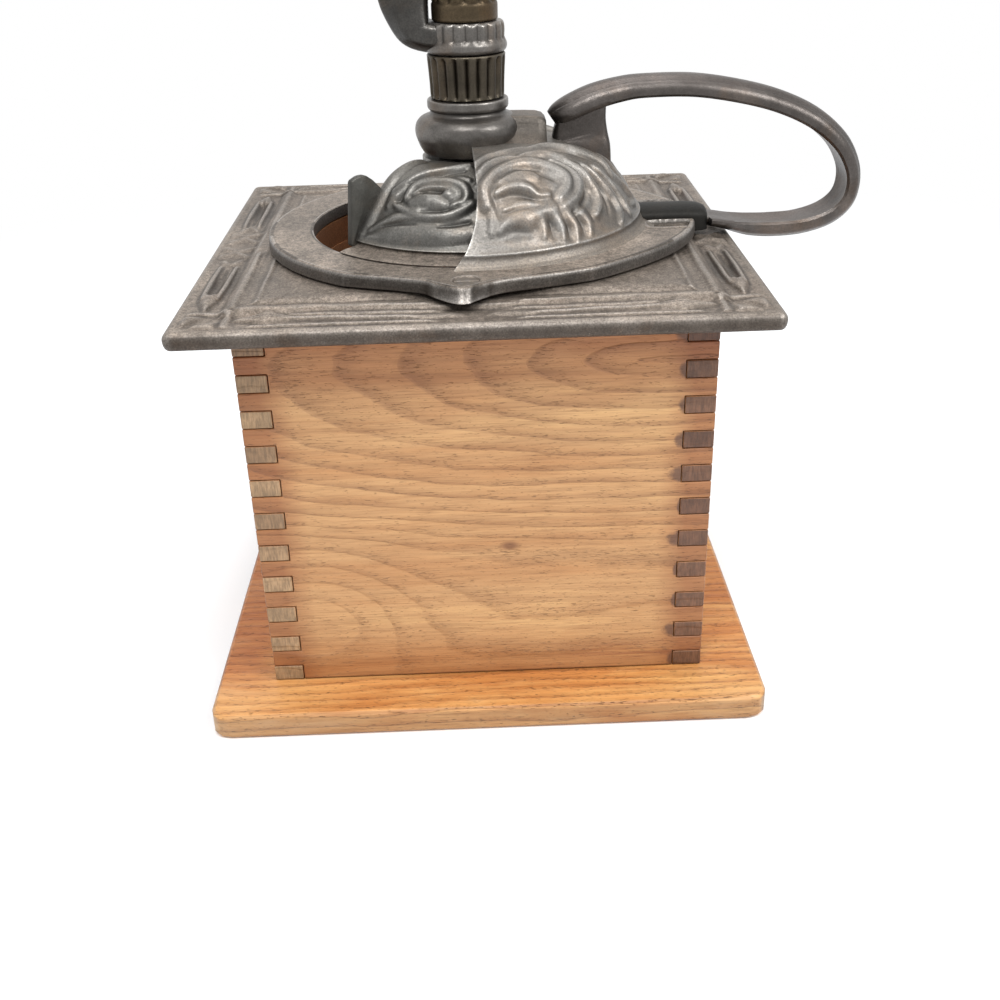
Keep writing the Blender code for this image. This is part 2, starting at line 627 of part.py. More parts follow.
def plate_rings():
    """Level outlines of the top plate from its field round the rim to its underside."""
    lip = PLATE_SEAT - PLATE_LIP_DROP
    bead_top = lip + PLATE_BEAD_HEIGHT
    field = bead_top + PLATE_FIELD_RISE
    line = PLATE_LINE_WIDTH
    border = PLATE_BORDER_WIDTH
    under = PLATE_SEAT - PLATE_LINE_HEIGHT
    section = [(border + 6 * line, PLATE_TOP), (border + 2 * line, field),
               (border + line, field + PLATE_LINE_HEIGHT), (border, field + PLATE_LINE_HEIGHT),
               (border - line, bead_top)]
    section += [(w * PLATE_BEAD_WIDTH, lip + h * PLATE_BEAD_HEIGHT) for w, h in PLATE_BEAD_SHARES]
    section += [(PLATE_BEAD_WIDTH, under - PLATE_LINE_HEIGHT), (border - line, under - PLATE_LINE_HEIGHT),
                (border + line / 2, PLATE_SEAT)]
    rings = []
    for inset, height in section:
        radius = max(PLATE_CORNER_RADIUS - inset, PLATE_CORNER_RADIUS / 2)
        outline = rounded_square(PLATE_SIDE / 2 - inset, radius, CORNER_STEPS)
        rings.append([(x, y, height) for x, y in outline])
    return rings


def make_top_plate():
    """Thin cast plate with a beaded rim, a bordered field and a round hole."""
    plate = add_piece("top_plate", loft(plate_rings()), cast_iron("top_plate"))
    hole = BOWL_RADIUS + SEAT_GAP
    rebate = BOWL_FLANGE_RADIUS + SEAT_GAP
    boss_floor = PLATE_TOP - BOSS_DEPTH
    ledge = PLATE_TOP - BOWL_FLANGE_THICKNESS - SEAT_GAP
    join(plate, cylinder(rebate + BOSS_WALL, boss_floor, PLATE_SEAT + PLATE_WEB / 2, LARGE_ROUND),
         "boss")
    cut(plate, turned([(hole, boss_floor - CUT_OVERRUN), (hole, ledge), (rebate, ledge),
                       (rebate, PLATE_TOP + CUT_OVERRUN)], LARGE_ROUND), "hole")
    return plate


def lobed_radius(turn):
    """The ring's outer radius: round, with an ogee lobe fore and aft and a shoulder."""
    def away(middle):
        return abs((turn - middle + math.pi) % (2 * math.pi) - math.pi)

    def lobe(middle):
        share = max(0.0, 1 - away(middle) / LOBE_HALF_TURN)
        return LOBE_RISE * (0.55 * share ** 2 * (3 - 2 * share) + 0.45 * share ** 3)

    shoulder = max(0.0, math.cos(min(away(0) * 1.7, math.pi / 2)))
    return (RING_RADIUS + lobe(-math.pi / 2 + LOBE_TURN) + lobe(math.pi / 2 + LOBE_TURN)
            + SHOULDER_RISE * shoulder ** 2)


def ring_mesh():
    """The canopy's flat ring, with its upper outside edge eased."""
    turns = []
    for side in (-1, 1):
        middle = side * math.pi / 2 + LOBE_TURN
        turns += list(np.linspace(middle - LOBE_HALF_TURN, middle + LOBE_HALF_TURN, LOBE_STEPS))
        plain = math.pi - 2 * LOBE_HALF_TURN
        steps = round(plain / ROUND_STEP)
        turns += [middle + LOBE_HALF_TURN + plain * i / steps for i in range(1, steps)]
    levels = [(0, RING_BOTTOM), (0, RING_TOP - RING_EDGE_EASE),
              (-RING_EDGE_EASE / 3, RING_TOP - RING_EDGE_EASE / 3), (-RING_EDGE_EASE, RING_TOP)]
    rings = []
    for grow, height in levels:
        rings.append([((lobed_radius(a) + grow) * math.cos(a), (lobed_radius(a) + grow) * math.sin(a),
                       height) for a in turns])
    return loft(rings)


def dome_points(shares):
    return [(r * DOME_FOOT_RADIUS, RING_TOP + h * DOME_HEIGHT) for r, h in shares]


def free_edge_shift(height):
    """How far the fixed dome's free edges run on past a half turn, flaring at the foot."""
    share = (height - RING_TOP) / DOME_HEIGHT
    return math.radians(-2.5 + 8.5 * max(0.0, 1 - share) ** 3)


def dome_section():
    """Closed outline of the fixed dome's wall: outside down, inside up."""
    crown = dome_points(DOME_CURVE_SHARES)
    foot = dome_points(DOME_FOOT_SHARES)
    inside = offset_curve(crown, DOME_WALL)[1::2]
    ledge = shutter_flange_radius() + RUNNING_GAP
    ledge_top = RING_TOP + SEAT_GAP + SHUTTER_FLANGE_THICKNESS + RUNNING_GAP
    bottom = RING_TOP - DOME_SINK
    foot_inside = [(ledge, bottom), (ledge, ledge_top)]
    return crown + foot + [(DOME_FOOT_RADIUS, bottom)] + foot_inside + inside[::-1]


def shutter_flange_radius():
    return HOPPER_RADIUS + SEAT_GAP * 5


def neck_profile():
    """Outside of the neck: a round bulge under a thin flange, both over the pivot."""
    return [(r * NECK_RADIUS, PIVOT_TOP + h * NECK_HEIGHT) for r, h in NECK_SHARES]


def socket_mesh():
    """The handle socket: a crowned boss on the ring with a rounded outer end."""
    half = SOCKET_WIDTH / 2
    base = RING_BOTTOM
    side_top = base + SOCKET_HEIGHT - SOCKET_CROWN
    length = SOCKET_END - SOCKET_START
    rings = []
    for along, wide, tall in SOCKET_STATION_SHARES:
        x = SOCKET_START + along * length
        ring = [(x, -half * wide, base), (x, half * wide, base)]
        for turn in np.linspace(0, math.pi, ARC_POINTS):
            ring.append((x, half * wide * math.cos(turn),
                         side_top + (math.sin(turn) - 1 + tall) * SOCKET_CROWN))
        rings.append(ring)
    return loft(rings)


def tongue_size():
    """Half width and thickness of the handle's tongue inside the socket."""
    return HANDLE_WIDTH / 2 * TONGUE_WIDTH_SHARE, HANDLE_THICKNESS * TONGUE_THICKNESS_SHARE


def make_canopy():
    """One casting: ring, fixed half dome, neck with the spindle bearing, lug and socket."""
    canopy = add_piece("hopper_canopy", ring_mesh(), cast_iron("hopper_canopy"))
    cut(canopy, cylinder(HOPPER_RADIUS, RING_BOTTOM - CUT_OVERRUN, RING_TOP + CUT_OVERRUN, LARGE_ROUND),
        "mouth")
    join(canopy, socket_mesh(), "socket")
    join(canopy, sector(dome_section(), -math.pi / 2, math.pi, DOME_COLUMNS, free_edge_shift), "dome")
    pivot_bottom = PIVOT_TOP - PIVOT_LENGTH
    join(canopy, turned_ring([(SPINDLE_BORE, pivot_bottom), (PIVOT_RADIUS, pivot_bottom),
                              (PIVOT_RADIUS, PIVOT_TOP)] + neck_profile() + [(SPINDLE_BORE, NECK_TOP)],
                             NECK_COLUMNS), "neck")
    lug_top = PIVOT_TOP + NECK_HEIGHT * 0.68
    lug_low = lug_top - LUG_RISE
    start = (SPINDLE_BORE + NECK_RADIUS) / 2
    ease = LUG_RISE * 0.18
    outline = [(start, lug_low), (LUG_REACH, lug_low), (LUG_REACH, lug_top - 2 * ease),
               (LUG_REACH - ease, lug_top - ease / 2), (start, lug_top)]
    join(canopy, prism(outline, -LUG_WIDTH / 2, LUG_WIDTH / 2, "Y"), "lug")

    tongue_half, tongue_thick = tongue_size()
    tongue_level = HANDLE_LOW + HANDLE_RISE * TONGUE_RISE_SHARE
    cut(canopy, block((SOCKET_START + SOCKET_WIDTH / 3, -tongue_half - SEAT_GAP,
                       tongue_level - tongue_thick / 2 - SEAT_GAP),
                      (SOCKET_END + CUT_OVERRUN, tongue_half + SEAT_GAP,
                       tongue_level + tongue_thick / 2 + SEAT_GAP)), "tongue_hole")
    beside = -SOCKET_WIDTH * 0.7
    cut(canopy, block((SOCKET_START + SOCKET_WIDTH * 0.15, beside - SOCKET_RECESS_WIDTH,
                       RING_TOP - SOCKET_RECESS_DEPTH),
                      (SOCKET_END - SOCKET_WIDTH * 0.5, beside, RING_TOP + CUT_OVERRUN)), "side_recess")
    return canopy


def make_canopy_screws(canopy, plate, front, back):
    """Two wood screws through the ring's lobes and the plate into the box."""
    hole = screw_hole(WOOD_SCREW_HEAD_RADIUS, WOOD_SCREW_HEAD_HEIGHT, WOOD_SCREW_RADIUS,
                      CANOPY_SCREW_LENGTH)
    for label, side, board in (("front", -1, front), ("back", 1, back)):
        place = (side * BOARD_MIDDLE * math.tan(-LOBE_TURN), side * BOARD_MIDDLE,
                 RING_TOP - SEAT_GAP)
        for piece in (canopy, plate, board):
            cut(piece, hole, "screw_hole_" + label, place)
        slotted_screw("canopy_screw_" + label, steel("canopy_screw_" + label),
                      WOOD_SCREW_HEAD_RADIUS, WOOD_SCREW_HEAD_HEIGHT, WOOD_SCREW_RADIUS,
                      CANOPY_SCREW_LENGTH, place)


def shutter_section():
    """Closed outline of the shutter's wall, from its hub to the flange on the ring."""
    outside = dome_points(SHUTTER_CURVE_SHARES)
    hub_top = PIVOT_TOP - 2 * SEAT_GAP
    hub_radius = PIVOT_RADIUS + RUNNING_GAP
    flange = shutter_flange_radius()
    foot = RING_TOP + SEAT_GAP
    flange_top = foot + SHUTTER_FLANGE_THICKNESS
    wall_foot = DOME_FOOT_RADIUS * SHUTTER_FOOT_SHARE
    crown = [(hub_radius + SHUTTER_HUB_WIDTH / 2, hub_top),
             (hub_radius + SHUTTER_HUB_WIDTH, hub_top)] + outside
    inside = offset_curve(crown, SHUTTER_WALL)[::2]
    edge = [(wall_foot, flange_top), (flange, flange_top), (flange, foot),
            (wall_foot - SHUTTER_WALL, foot)]
    return crown + edge + inside[::-1]


def make_shutter():
    """The turning half dome: shell, hub ring round the pivot, and the thumb fin."""
    turn_axis = add_axis("shutter_turn_axis", (0, 0, PIVOT_TOP))
    drop = (0, 0, -PIVOT_TOP)
    mesh = sector(shutter_section(), SHUTTER_START, SHUTTER_SWEEP, DOME_COLUMNS)
    shutter = add_piece("shutter", mesh, cast_iron("shutter"), turn_axis, drop)
    hub_radius = PIVOT_RADIUS + RUNNING_GAP
    hub_top = PIVOT_TOP - 2 * SEAT_GAP
    hub_low = hub_top - SHUTTER_HUB_THICKNESS
    hub_rim = hub_radius + SHUTTER_HUB_WIDTH
    join(shutter, turned_ring([(hub_radius, hub_low), (hub_rim, hub_low),
                               (hub_rim, hub_top - SEAT_GAP), (hub_radius, hub_top - SEAT_GAP)],
                              NECK_COLUMNS), "hub", drop)

    top = RING_TOP + FIN_HEIGHT
    fin_outline = [(FIN_REACH * r, top + FIN_HEIGHT * h) for r, h in FIN_SHARES]
    fin = prism(fin_outline, -FIN_THICKNESS, SEAT_GAP, "Y")
    join(shutter, fin, "fin", drop)
    shutter.modifiers["fin"].object.rotation_euler = (0, 0, SHUTTER_START)
    return shutter


def bowl_outline():
    """Closed outline of the bowl: flange, funnel and burr housing."""
    rim = BOWL_FLANGE_RADIUS
    housing = BURR_RING_RADIUS + SEAT_GAP + BOWL_WALL
    seat = BURR_FLOOR + BURR_HEIGHT + SEAT_GAP
    flange_low = PLATE_TOP - BOWL_FLANGE_THICKNESS
    outside = [(housing + (BOWL_RADIUS - housing) * r, PLATE_TOP - BOWL_DEPTH * d)
               for r, d in FUNNEL_SHARES]
    inside = offset_curve(outside, BOWL_WALL)
    throat = BURR_RING_RADIUS - BURR_LIP
    neck_top = seat + BOWL_WALL
    return ([(HOPPER_RADIUS, PLATE_TOP), (rim, PLATE_TOP), (rim, flange_low), (BOWL_RADIUS, flange_low)]
            + outside + [(housing, neck_top), (housing, BOWL_FLOOR),
                         (BURR_RING_RADIUS + SEAT_GAP, BOWL_FLOOR), (BURR_RING_RADIUS + SEAT_GAP, seat),
                         (throat, seat), (throat, neck_top)] + inside[::-1][:-1]
            + [(HOPPER_RADIUS, PLATE_TOP - BOWL_DEPTH * 0.12)])


def make_bowl():
    """The bean bowl, which hangs in the plate's hole, with two ears for the bridge."""
    bowl = add_piece("hopper_bowl", turned_ring(bowl_outline(), LARGE_ROUND),
                     finish("hopper_bowl", (0.17, 0.085, 0.05), 0.7, 0.5))
    housing = BURR_RING_RADIUS + SEAT_GAP + BOWL_WALL
    hole = cylinder(BRIDGE_SCREW_RADIUS + SEAT_GAP, BOWL_FLOOR - CUT_OVERRUN,
                    BOWL_FLOOR + EAR_HEIGHT + CUT_OVERRUN, SMALL_ROUND)
    for label, side in (("left", -1), ("right", 1)):
        place = (side * EAR_REACH, 0, 0)
        join(bowl, ear_mesh(side, housing, BOWL_FLOOR, BOWL_FLOOR + EAR_HEIGHT), "ear_" + label)
        cut(bowl, hole, "ear_hole_" + label, place)
    return bowl


def ear_mesh(side, housing, low, high):
    """A round ended ear that runs out from the housing's wall."""
    root = housing - BOWL_WALL / 2
    outline = [(side * root, -EAR_RADIUS), (side * root, EAR_RADIUS)]
    for turn in np.linspace(math.pi / 2, -math.pi / 2, ARC_POINTS):
        outline.append((side * (EAR_REACH + EAR_RADIUS * math.cos(turn)), EAR_RADIUS * math.sin(turn)))
    return prism(outline, low, high)


def make_bridge():
    """Lower bearing: a ring that holds the burr in, a crossbar and the bearing boss."""
    housing = BURR_RING_RADIUS + SEAT_GAP + BOWL_WALL
    inner = BURR_EXIT_RADIUS + 2 * RUNNING_GAP
    ring = [(inner, BRIDGE_BOTTOM), (housing, BRIDGE_BOTTOM), (housing, BRIDGE_TOP), (inner, BRIDGE_TOP)]
    bridge = add_piece("bridge", turned_ring(ring, LARGE_ROUND), cast_iron("bridge"))
    middle = (inner + housing) / 2
    join(bridge, block((-middle, -BRIDGE_BAR_WIDTH / 2, BRIDGE_BOTTOM + SEAT_GAP),
                       (middle, BRIDGE_BAR_WIDTH / 2, BRIDGE_TOP - SEAT_GAP)), "bar")
    join(bridge, cylinder(BRIDGE_BOSS_RADIUS, JOURNAL_BOTTOM, BRIDGE_TOP - 2 * SEAT_GAP,
                          MEDIUM_ROUND), "boss")
    for label, side in (("left", -1), ("right", 1)):
        join(bridge, ear_mesh(side, housing, BRIDGE_BOTTOM, BRIDGE_TOP), "ear_" + label)
    cut(bridge, cylinder(JOURNAL_RADIUS + SEAT_GAP, JOURNAL_BOTTOM - CUT_OVERRUN,
                         BRIDGE_TOP + CUT_OVERRUN, MEDIUM_ROUND), "bearing")
    head = BRIDGE_SCREW_RADIUS * 2
    length = BRIDGE_THICKNESS + EAR_HEIGHT
    hole = cylinder(BRIDGE_SCREW_RADIUS + SEAT_GAP, BRIDGE_BOTTOM - CUT_OVERRUN, BRIDGE_TOP + CUT_OVERRUN,
                    SMALL_ROUND)
    for label, side in (("left", -1), ("right", 1)):
        cut(bridge, hole, "screw_hole_" + label, (side * EAR_REACH, 0, 0))
        seat = BRIDGE_BOTTOM - SEAT_GAP
        profile = [(head * 0.75, seat - head * 0.7), (head, seat - head * 0.45), (head, seat),
                   (BRIDGE_SCREW_RADIUS, seat), (BRIDGE_SCREW_RADIUS, seat + length)]
        name = "bridge_screw_" + label
        screw = add_piece(name, turned(profile, SMALL_ROUND), steel(name), None, (side * EAR_REACH, 0, 0))
        slot = block((-head * 2, -SLOT_WIDTH / 2, seat - head),
                     (head * 2, SLOT_WIDTH / 2, seat - head * 0.45))
        cut(screw, slot, "slot", (side * EAR_REACH, 0, 0))
    return bridge


def toothed_circle(crest, depth, height, teeth, turned_by):
    """A level ring whose radius steps between tooth crests and roots.

    A positive depth cuts the roots inwards, a negative one cuts them outwards.
    """
    count = teeth * len(TOOTH_SHARES)
    ring = []
    for i in range(count):
        radius = crest - depth * TOOTH_SHARES[i % len(TOOTH_SHARES)]
        turn = 2 * math.pi * i / count + turned_by
        ring.append((radius * math.cos(turn), radius * math.sin(turn), height))
    return ring


def crest_radius(height):
    """Radius of the fixed burr's crests: a wide mouth, a throat, then the grinding cone."""
    low = BURR_FLOOR
    throat = low + BURR_GRIND_HEIGHT
    top = low + BURR_HEIGHT
    return float(np.interp(height, [low, throat, top],
                           [BURR_EXIT_RADIUS, BURR_THROAT_RADIUS, BURR_MOUTH_RADIUS]))


def make_outer_burr():
    """The fixed burr: a ring with helical teeth inside."""
    low, high = BURR_FLOOR, BURR_FLOOR + BURR_HEIGHT
    count = OUTER_TEETH * len(TOOTH_SHARES)
    throat = low + BURR_GRIND_HEIGHT
    levels = [high, high - (high - throat) / 2, throat, low]
    rings = [circle(BURR_RING_RADIUS, low, count), circle(BURR_RING_RADIUS, high, count)]
    for height in levels:
        twist = OUTER_TWIST * (height - low) / BURR_HEIGHT
        rings.append(toothed_circle(crest_radius(height), -OUTER_TOOTH_DEPTH, height, OUTER_TEETH, twist))
    add_piece("outer_burr", loft(rings, True), steel("outer_burr"))


def make_spindle_group(crank_axis):
    """Spindle, the turning burr with its helical teeth, and the pin through both."""
    lift_axis = add_axis("burr_lift_axis", (0, 0, 0), crank_axis)
    count = MEDIUM_ROUND
    square = []
    for i in range(count):
        turn = 2 * math.pi * i / count
        reach = SQUARE_HALF / max(abs(math.cos(turn)), abs(math.sin(turn)))
        square.append((reach * math.cos(turn), reach * math.sin(turn)))
    step = JOURNAL_RADIUS / 4
    shoulder = BRIDGE_TOP + step
    tip = CAP_BOTTOM + CAP_HEIGHT * SPINDLE_TIP_SHARE
    square_low = NUT_TOP - BURR_TRAVEL
    square_top = HUB_TOP - BURR_TRAVEL
    rings = [circle(JOURNAL_RADIUS - step / 2, JOURNAL_BOTTOM + SEAT_GAP, count),
             circle(JOURNAL_RADIUS, JOURNAL_BOTTOM + step, count),
             circle(JOURNAL_RADIUS, shoulder, count),
             circle(SPINDLE_RADIUS, shoulder + SEAT_GAP, count),
             circle(SPINDLE_RADIUS, square_low - step, count),
             [(x, y, square_low) for x, y in square],
             [(x, y, square_top) for x, y in square],
             circle(SPINDLE_TOP_RADIUS, square_top + SEAT_GAP, count),
             circle(SPINDLE_TOP_RADIUS, tip - step, count),
             circle(SPINDLE_TOP_RADIUS - step / 2, tip, count)]
    spindle = add_piece("spindle", loft(rings), steel("spindle"), lift_axis)

    low = INNER_BURR_FLOOR
    grind = BURR_FLOOR + BURR_GRIND_HEIGHT
    hub_low = BURR_FLOOR + BURR_HEIGHT - BURR_GAP
    hub_top = hub_low + BURR_HUB_HEIGHT
    wide = BURR_THROAT_RADIUS - BURR_GAP
    cone = [(low, crest_radius(low) - BURR_GAP, INNER_TOOTH_DEPTH),
            ((low + grind) / 2, crest_radius((low + grind) / 2) - BURR_GAP, INNER_TOOTH_DEPTH),
            (grind, wide, INNER_TOOTH_DEPTH)]
    for share in (0.42, 0.88):
        radius = wide + (BURR_HUB_RADIUS - wide) * share
        cone.append((grind + (hub_low - grind) * share, radius, INNER_TOOTH_DEPTH * (1 - share)))
    rings = []
    for height, radius, depth in cone:
        twist = INNER_TWIST * (height - low) / BURR_HEIGHT
        rings.append(toothed_circle(radius, depth, height, INNER_TEETH, twist))
    twist = INNER_TWIST * (hub_low - low) / BURR_HEIGHT
    rings.append(toothed_circle(BURR_HUB_RADIUS, 0, hub_low, INNER_TEETH, twist))
    rings.append(toothed_circle(BURR_HUB_RADIUS, 0, hub_top, INNER_TEETH, twist))
    burr = add_piece("inner_burr", loft(rings), steel("inner_burr"), lift_axis)
    cut(burr, cylinder(SPINDLE_BORE, low - CUT_OVERRUN, hub_top + CUT_OVERRUN, MEDIUM_ROUND), "bore")

    level = (hub_low + hub_top) / 2
    pin_reach = BURR_HUB_RADIUS - SEAT_GAP
    pin = cylinder(PIN_RADIUS, -pin_reach, pin_reach, SMALL_ROUND)
    hole = cylinder(PIN_RADIUS + SEAT_GAP, -BURR_HUB_RADIUS * 2, BURR_HUB_RADIUS * 2, SMALL_ROUND)
    along_x = (0, math.pi / 2, 0)
    for piece in (spindle, burr):
        cut(piece, hole, "pin_hole", (0, 0, level))
        piece.modifiers["pin_hole"].object.rotation_euler = along_x
    burr_pin = add_piece("burr_pin", pin, steel("burr_pin"), lift_axis, (0, 0, level))
    burr_pin.rotation_euler = along_x


def fluted_circle(radius, depth, height, flutes, samples):
    """A level ring with round hollow flutes and narrow ridges between them."""
    count = flutes * samples
    ring = []
    for i in range(count):
        phase = (i % samples) / samples
        hollow = math.sin(math.pi * phase)
        turn = 2 * math.pi * i / count
        reach = radius - depth * hollow
        ring.append((reach * math.cos(turn), reach * math.sin(turn), height))
    return ring


def make_regulator(crank_axis):
    """Fluted nut on the spindle's thread, which lifts the spindle to set the grind."""
    turn_axis = add_axis("regulator_turn_axis", (0, 0, NUT_BOTTOM), crank_axis)
    samples = FLUTE_SAMPLES
    count = NUT_FLUTES * samples
    collar = NUT_HEIGHT / 12
    rings = [circle(SPINDLE_BORE, NUT_BOTTOM, count), circle(NUT_FOOT_RADIUS, NUT_BOTTOM, count),
             fluted_circle(NUT_FOOT_RADIUS, NUT_FLUTE_DEPTH, NUT_BOTTOM + collar, NUT_FLUTES, samples),
             fluted_circle(NUT_HEAD_RADIUS, NUT_FLUTE_DEPTH, NUT_TOP - collar, NUT_FLUTES, samples),
             circle(NUT_HEAD_RADIUS, NUT_TOP, count), circle(SPINDLE_BORE, NUT_TOP, count)]
    add_piece("regulator_nut", loft(rings, True), cast_iron("regulator_nut"), turn_axis,
              (0, 0, -NUT_BOTTOM))


def crank_arm_mesh():
    """The swan necked arm, bevelled along its outer edge, from the hub to the knob boss."""
    rings = []
    for outer, inner, depth in zip(ARM_OUTER_SHARES, ARM_INNER_SHARES, ARM_DEPTH_SHARES):
        ring = []
        for across, side in ARM_SECTION_SHARES:
            x = outer[0] + (inner[0] - outer[0]) * across
            z = outer[1] + (inner[1] - outer[1]) * across
            ring.append((-x * CRANK_REACH, side * depth * HUB_RADIUS, HUB_BOTTOM + z * CRANK_RISE))
        rings.append(ring)
    return loft(rings)


def make_crank(crank_axis):
    """Crank arm with its ribbed hub and knob boss, and the cap nut over it."""
    count = HUB_FLUTES * HUB_FLUTE_SAMPLES
    square_bore = []
    for i in range(count):
        turn = 2 * math.pi * i / count
        reach = (SQUARE_HALF + SEAT_GAP) / max(abs(math.cos(turn)), abs(math.sin(turn)))
        square_bore.append((reach * math.cos(turn), reach * math.sin(turn)))
    lip = HUB_HEIGHT * 0.2
    rings = [circle(HUB_RADIUS * 0.93, HUB_BOTTOM, count),
             circle(HUB_RADIUS, HUB_BOTTOM + lip / 2, count),
             circle(HUB_RADIUS, HUB_BOTTOM + lip, count),
             fluted_circle(HUB_RADIUS, HUB_FLUTE_DEPTH, HUB_BOTTOM + lip * 1.5, HUB_FLUTES,
                           HUB_FLUTE_SAMPLES),
             fluted_circle(HUB_RADIUS, HUB_FLUTE_DEPTH, HUB_TOP - lip / 2, HUB_FLUTES,
                           HUB_FLUTE_SAMPLES),
             circle(HUB_RADIUS * 0.96, HUB_TOP, count)]
    arm = add_piece("crank_arm", loft(rings), cast_iron("crank_arm"), crank_axis)
    join(arm, crank_arm_mesh(), "swan_neck")
    join(arm, cylinder(KNOB_BOSS_RADIUS, KNOB_BOSS_BOTTOM, KNOB_BOSS_TOP, MEDIUM_ROUND), "knob_boss",
         (-CRANK_REACH, 0, 0))
    cut(arm, loft([[(x, y, height) for x, y in square_bore]
                   for height in (HUB_BOTTOM - CUT_OVERRUN, HUB_TOP + CUT_OVERRUN)]), "square_bore")
    cut(arm, cylinder(KNOB_PIN_RADIUS + SEAT_GAP, KNOB_BOSS_BOTTOM - CUT_OVERRUN,
                      KNOB_BOSS_TOP + CUT_OVERRUN, SMALL_ROUND), "pin_hole", (-CRANK_REACH, 0, 0))

    crown = CAP_HEIGHT - CAP_COLLAR_HEIGHT
    count = CAP_LOBES * FLUTE_SAMPLES
    base = CAP_BOTTOM + CAP_COLLAR_HEIGHT
    bore = SPINDLE_TOP_RADIUS + SEAT_GAP
    bore_top = CAP_BOTTOM + CAP_HEIGHT * SPINDLE_TIP_SHARE + 4 * RUNNING_GAP + bore
    rings = [circle(bore / 8, bore_top, count), circle(bore, bore_top - bore, count),
             circle(bore, CAP_BOTTOM, count),
             circle(CAP_RADIUS, CAP_BOTTOM, count), circle(CAP_RADIUS, base, count)]
    for wide, tall, lobed in CAP_CROWN_SHARES:
        rings.append(fluted_circle(wide * CAP_RADIUS, CAP_LOBE_DEPTH * lobed, base + tall * crown,
                                   CAP_LOBES, FLUTE_SAMPLES))
    add_piece("cap_nut", loft(rings), finish("cap_nut", (0.19, 0.13, 0.07), 0.42, 0.85), crank_axis)


def make_crank_knob(crank_axis):
    """Turned wooden knob, free on a headed pin through the arm's boss."""
    knob_axis = add_axis("knob_spin_axis", (-CRANK_REACH, 0, 0), crank_axis)
    foot = KNOB_BOSS_TOP + SEAT_GAP
    bore = KNOB_PIN_RADIUS + SEAT_GAP
    recess = KNOB_PIN_HEAD_RADIUS + RUNNING_GAP
    top = foot + KNOB_LENGTH
    recess_floor = top - KNOB_PIN_HEAD_HEIGHT - 2 * RUNNING_GAP
    profile = [(bore, foot)] + [(r * KNOB_RADIUS, foot + h * KNOB_LENGTH) for r, h in KNOB_SHARES]
    profile += [(recess, top), (recess, recess_floor), (bore, recess_floor)]
    add_piece("crank_knob", turned_ring(profile, MEDIUM_ROUND),
              finish("crank_knob", (0.13, 0.06, 0.035), 0.35, 0.0), knob_axis)

    radius = KNOB_PIN_RADIUS
    head = KNOB_PIN_HEAD_RADIUS
    under = KNOB_BOSS_BOTTOM - SEAT_GAP
    head_low = recess_floor + SEAT_GAP
    pin_profile = [(head * 0.5, under - head * 0.4), (head * 0.9, under - head * 0.2), (head, under),
                   (radius, under), (radius, head_low), (head, head_low),
                   (head * 0.95, head_low + KNOB_PIN_HEAD_HEIGHT * 0.5),
                   (head * 0.5, head_low + KNOB_PIN_HEAD_HEIGHT)]
    add_piece("knob_pin", turned(pin_profile, MEDIUM_ROUND), steel("knob_pin"), crank_axis,
              (-CRANK_REACH, 0, 0))


def handle_path():
    """Points (x, z, thickness) along the strap, from the foot round to the socket."""
    length = HANDLE_REACH - HANDLE_START
    return [(HANDLE_START + x * length, HANDLE_LOW + z * HANDLE_RISE, t * HANDLE_THICKNESS)
            for x, z, t in HANDLE_PATH_SHARES]


def handle_mesh():
    """The strap, crowned outside, with a rounded upper end and a tongue at the lower one."""
    line = smooth_path(handle_path(), HANDLE_STEP)
    along = np.gradient(line[:, :2], axis=0)
    along /= np.linalg.norm(along, axis=1)[:, None]
    run = np.concatenate([[0], np.cumsum(np.linalg.norm(np.diff(line[:, :2], axis=0), axis=1))])
    rings = []
    for i, (x, z, thickness) in enumerate(line):
        from_start = min(1.0, run[i] / HANDLE_WIDTH)
        rounding = math.sqrt(max(0.12, 1 - (1 - from_start) ** 2))
        narrowing = 1.0
        if i > len(line) / 2 and x < SOCKET_END + 3 * SEAT_GAP:
            narrowing = TONGUE_WIDTH_SHARE
        half = HANDLE_WIDTH / 2 * rounding * narrowing
        out_x, out_z = -along[i, 1], along[i, 0]
        ring = []
        for across, up in HANDLE_SECTION_SHARES:
            reach = up * thickness / 2
            ring.append((x + out_x * reach, across * half, z + out_z * reach))
        rings.append(ring)
    return loft(rings)


def foot_mesh():
    """The waisted foot under the strap's upper end, deep enough to be scribed to the dome."""
    floor = RING_TOP + DOME_HEIGHT * 0.4
    start, rise, _ = zip(*handle_path()[:5])
    rings = []
    for tall, near, far, wide in FOOT_STATION_SHARES:
        x0 = HANDLE_START + FOOT_LENGTH * near
        x1 = HANDLE_START + FOOT_LENGTH * far
        half = FOOT_WIDTH / 2 * wide
        soft = half * 0.4
        outline = [(x0, -half + soft), (x0 + soft, -half), (x1 - soft, -half), (x1, -half + soft),
                   (x1, half - soft), (x1 - soft, half), (x0 + soft, half), (x0, half - soft)]
        rings.append([(x, y, floor + (float(np.interp(x, start, rise)) - floor) * tall)
                      for x, y in outline])
    return loft(rings)


